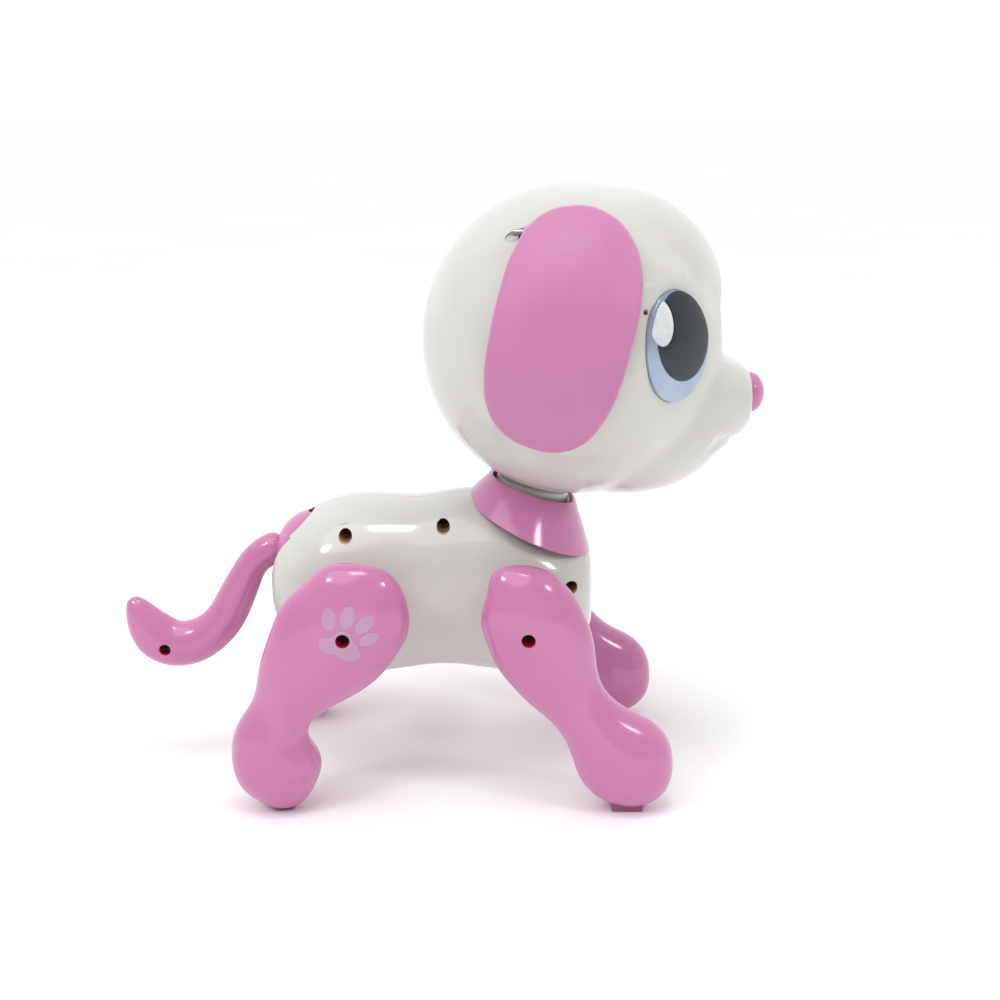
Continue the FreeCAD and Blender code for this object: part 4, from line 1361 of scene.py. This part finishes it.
FRONT_LEG = Leg("front", FRONT_HIP_X, (
    Ring(18.1, 79.5, 2.4, 1.9), Ring(22.0, 76.3, 8.3, 5.4), Ring(25.5, 71.5, 13.5, 8.2),
    Ring(29.6, 64.5, 15.7, 9.5), Ring(33.0, 56.9, 16.1, 9.5), Ring(36.7, 49.2, 14.7, 9.0),
    Ring(40.6, 41.6, 12.0, 8.2), Ring(45.5, 34.7, 10.0, 7.8), Ring(51.2, 27.3, 11.3, 8.8),
    Ring(56.5, 20.7, 14.6, 10.0), Ring(61.6, 15.5, 15.2, 10.4), Ring(66.4, 11.7, 13.3, 9.6),
    Ring(70.5, 8.7, 9.2, 7.2), Ring(73.9, 6.7, 3.3, 3.0),
), (56.0, 66.2, 4.0))
REAR_LEG = Leg("rear", REAR_HIP_X, (
    Ring(-14.5, 79.4, 2.4, 1.9), Ring(-16.7, 76.2, 9.8, 5.4), Ring(-21.0, 71.3, 16.3, 8.4),
    Ring(-26.2, 64.4, 18.4, 9.5), Ring(-33.2, 56.7, 19.0, 9.6), Ring(-39.6, 48.6, 16.3, 9.2),
    Ring(-45.3, 41.0, 12.7, 8.4), Ring(-49.2, 33.4, 10.2, 7.8), Ring(-52.4, 26.2, 11.9, 9.0),
    Ring(-52.1, 18.6, 13.9, 10.2), Ring(-50.4, 11.4, 13.5, 10.2), Ring(-49.0, 5.7, 9.8, 7.8),
    Ring(-48.4, 2.3, 6.2, 5.2), Ring(-48.2, 0.9, 3.2, 3.0),
), (-52.6, -46.0, 2.6), PawPrint())


# ------------------------------------------------------------------ tail
@dataclass
class Tail:
    """Curled tail in two halves, and the rump ball that it grows from."""

    rings: Sequence[Ring] = (
        Ring(-52.0, 77.4, 5.2, 4.8), Ring(-57.0, 75.2, 5.4, 5.0), Ring(-62.0, 71.6, 5.2, 5.2),
        Ring(-65.5, 66.0, 5.5, 5.3), Ring(-68.8, 59.4, 6.1, 5.6), Ring(-72.7, 52.0, 6.5, 6.0),
        Ring(-78.1, 46.0, 7.0, 6.4), Ring(-84.6, 42.4, 7.8, 6.6), Ring(-91.2, 41.9, 8.4, 6.6),
        Ring(-97.0, 44.8, 8.3, 6.2), Ring(-101.0, 50.2, 6.4, 5.0), Ring(-103.4, 55.2, 3.9, 3.2),
        Ring(-104.9, 58.2, 1.6, 1.4),
    )
    screw: Place = (-93.1, 41.6)
    ball_r: float = 14.3
    sleeve_r: float = 5.6
    post_hole_r: float = 3.06
    seam: float = 0.06

    def build(self) -> None:
        """Model the two halves and the ball."""
        x, z = self.screw
        for side in Side:
            half = Workpiece.loft(f"tail_{side.word}", self.rings)
            rings = [ring.inset(1.6) for ring in self.rings[1:-2]]
            half.wall_in(Workpiece.loft("tail_hollow", rings, levels=2), side, side.value * self.seam, 0.2)
            half.cut(Workpiece.ball("ball_space", RUMP, (self.ball_r,) * 3))
            if side is Side.RIGHT:
                half.screw_hole(PINK_SKIN_AND_BORE_GLOW, (x, z), (-5.2, -0.3), -2.6, boss_r=3.4, recess_r=2.0)
            half.finish("tail", "pink_abs", PINK_ABS, [f"tail_half_{side.word}"])
        hub = Workpiece.ball("rump_ball", RUMP, (self.ball_r,) * 3)
        hub.cut(Workpiece.ball("hub_hollow", RUMP, (self.ball_r - 2.2,) * 3))
        hub.keep(Workpiece.block("hub_side", (-60, -30, 60.6), (-41.5, 30, 100)))
        hub.round_edges(0.25, segments=2)
        sleeve = Workpiece.rod("sleeve", (RUMP[0], 0, 55.0), (RUMP[0], 0, 71.5), self.sleeve_r)
        rib = Workpiece.block("rib", (-54.2, -1.6, 62.0), (RUMP[0], 1.6, 71.5))
        rib.keep(Workpiece.ball("rib_limit", RUMP, (self.ball_r - 0.4,) * 3))
        hub.add(sleeve, rib)
        hub.cut(Workpiece.rod("post_hole", (RUMP[0], 0, 45), (RUMP[0], 0, 90), self.post_hole_r))
        hub.finish("tail", "pink_abs", PINK_ABS, ["tail_hub"])


# ------------------------------------------------------------------ carried-over nodes and the studio
@dataclass
class Fittings:
    """Finishes for the frame's own nodes that stay as they are."""

    looks: Sequence[Tuple[str, Finish]] = (
        ("battery_cells", CELL_WRAP), ("battery_contacts", NICKEL), ("battery_", BLACK_ABS),
        # the screws' dark brown is painted shade for the bottom of their holes
        ("body_screws", SCREW_STEEL_PAINTED_SHADE), ("head_screws", SCREW_STEEL_PAINTED_SHADE), ("hip_screw", SCREW_STEEL_PAINTED_SHADE),
        ("tail_screw", SCREW_STEEL_PAINTED_SHADE),
        ("ear_pins", STEEL), ("tail_post", STEEL), ("drive_axle", STEEL), ("hip_shaft", WHITE_POM),
        ("walk_link", BLACK_ABS), ("drive_gear", WHITE_POM), ("idler_gear", WHITE_POM),
        ("motor_pinion", BRASS), ("motor", MOTOR_STEEL), ("gearbox", BLACK_ABS), ("speaker", BLACK_ABS),
        ("circuit_board", BOARD), ("switch_knob", BLACK_ABS), ("switch_case", BLACK_ABS),
        ("eye_leds", LED_CLEAR),
    )

    def dress(self) -> None:
        """Give each node the first finish whose word starts its name."""
        for name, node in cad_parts.items():
            look = next((look for word, look in self.looks if name.startswith(word)), WHITE_ABS)
            node.data.materials.clear()
            node.data.materials.append(look.material())


@dataclass
class Studio:
    """Pale floor, soft lamps and the camera."""

    camera_place: Point = (20.2, -482.96, 221.81)
    camera_tilt: float = 75.0
    lens: float = 54.0
    room: Tuple[float, float] = (0.42, 1.12)
    key_strength: float = 0.9
    lamps: Sequence[Tuple[str, Point, float, float]] = (
        ("softbox_left", (-520.0, -420.0, 640.0), 130.0, 0.9),
        ("softbox_right", (560.0, -420.0, 620.0), 130.0, 0.9),
        ("softbox_top", (60.0, -160.0, 900.0), 200.0, 1.0),
    )

    def build(self) -> None:
        """Set up the floor, light and camera."""
        Workpiece.clear_bench()
        bpy.ops.mesh.primitive_plane_add(size=30.0, location=(0, 0, 0))
        floor = Workpiece.fresh("studio_floor")
        paper = Finish("matt_paper_floor", "#ffffff", "#fcfcfc", 300.0, (0.85, 0.95), 4.0, 0.01)
        floor.obj.data.materials.append(paper.material())
        self.build_room()
        key = bpy.data.lights.new("key", "SUN")
        key.energy = self.key_strength
        key.angle = math.radians(50)
        self.hang("key", key, metres((-250, -350, 900)))
        for name, place, size, watts in self.lamps:
            lamp = bpy.data.lights.new(name, "AREA")
            lamp.shape = "SQUARE"
            lamp.size = size * MM
            lamp.energy = watts
            self.hang(name, lamp, metres(place))
        self.place_camera()

    def build_room(self) -> None:
        """A room that is bright behind the toy and dimmer behind the camera."""
        world = bpy.data.worlds.new("soft_room")
        world.use_nodes = True
        tree = world.node_tree
        way = add_node(tree, "ShaderNodeTexCoord", {}, {})
        parts = add_node(tree, "ShaderNodeSeparateXYZ", {}, {"Vector": way.outputs["Generated"]})
        dim, bright = self.room
        strength = add_node(
            tree, "ShaderNodeMapRange",
            {"From Min": -0.5, "From Max": 0.6, "To Min": dim, "To Max": bright},
            {"Value": parts.outputs["Y"]},
        )
        backdrop = tree.nodes["Background"]
        backdrop.inputs["Color"].default_value = (1.0, 1.0, 1.0, 1.0)
        tree.links.new(strength.outputs["Result"], backdrop.inputs["Strength"])
        bpy.context.scene.world = world

    @staticmethod
    def hang(name: str, lamp: bpy.types.Light, place: Vector) -> None:
        """Hang a lamp and aim it at the toy.

        Args:
            name: the lamp's name.
            lamp: its data.
            place: where it hangs, in metres.
        """
        holder = bpy.data.objects.new(name, lamp)
        holder.location = place
        holder.rotation_euler = (metres((0, 0, 90)) - place).to_track_quat("-Z", "Y").to_euler()
        bpy.context.scene.collection.objects.link(holder)

    def place_camera(self) -> None:
        """Set up the camera."""
        lens = bpy.data.cameras.new("camera")
        lens.lens = self.lens
        lens.sensor_width = 36.0
        lens.clip_end = 20.0
        camera = bpy.data.objects.new("camera", lens)
        camera.location = metres(self.camera_place)
        camera.rotation_euler = (math.radians(self.camera_tilt), 0, 0)
        bpy.context.scene.collection.objects.link(camera)
        bpy.context.scene.camera = camera
        bpy.context.scene.view_settings.view_transform = "Standard"


def main() -> None:
    """Build every sub-assembly in order and report it."""
    logging.basicConfig(level=logging.INFO, format="%(name)s %(message)s")
    for assembly in (Studio(), Body(), Neck(), Head(), Nose(), Ear(), FRONT_LEG, REAR_LEG, Tail()):
        LOG.info("building %s", type(assembly).__name__)
        assembly.build()
    Fittings().dress()


if __name__ == "__main__":
    main()
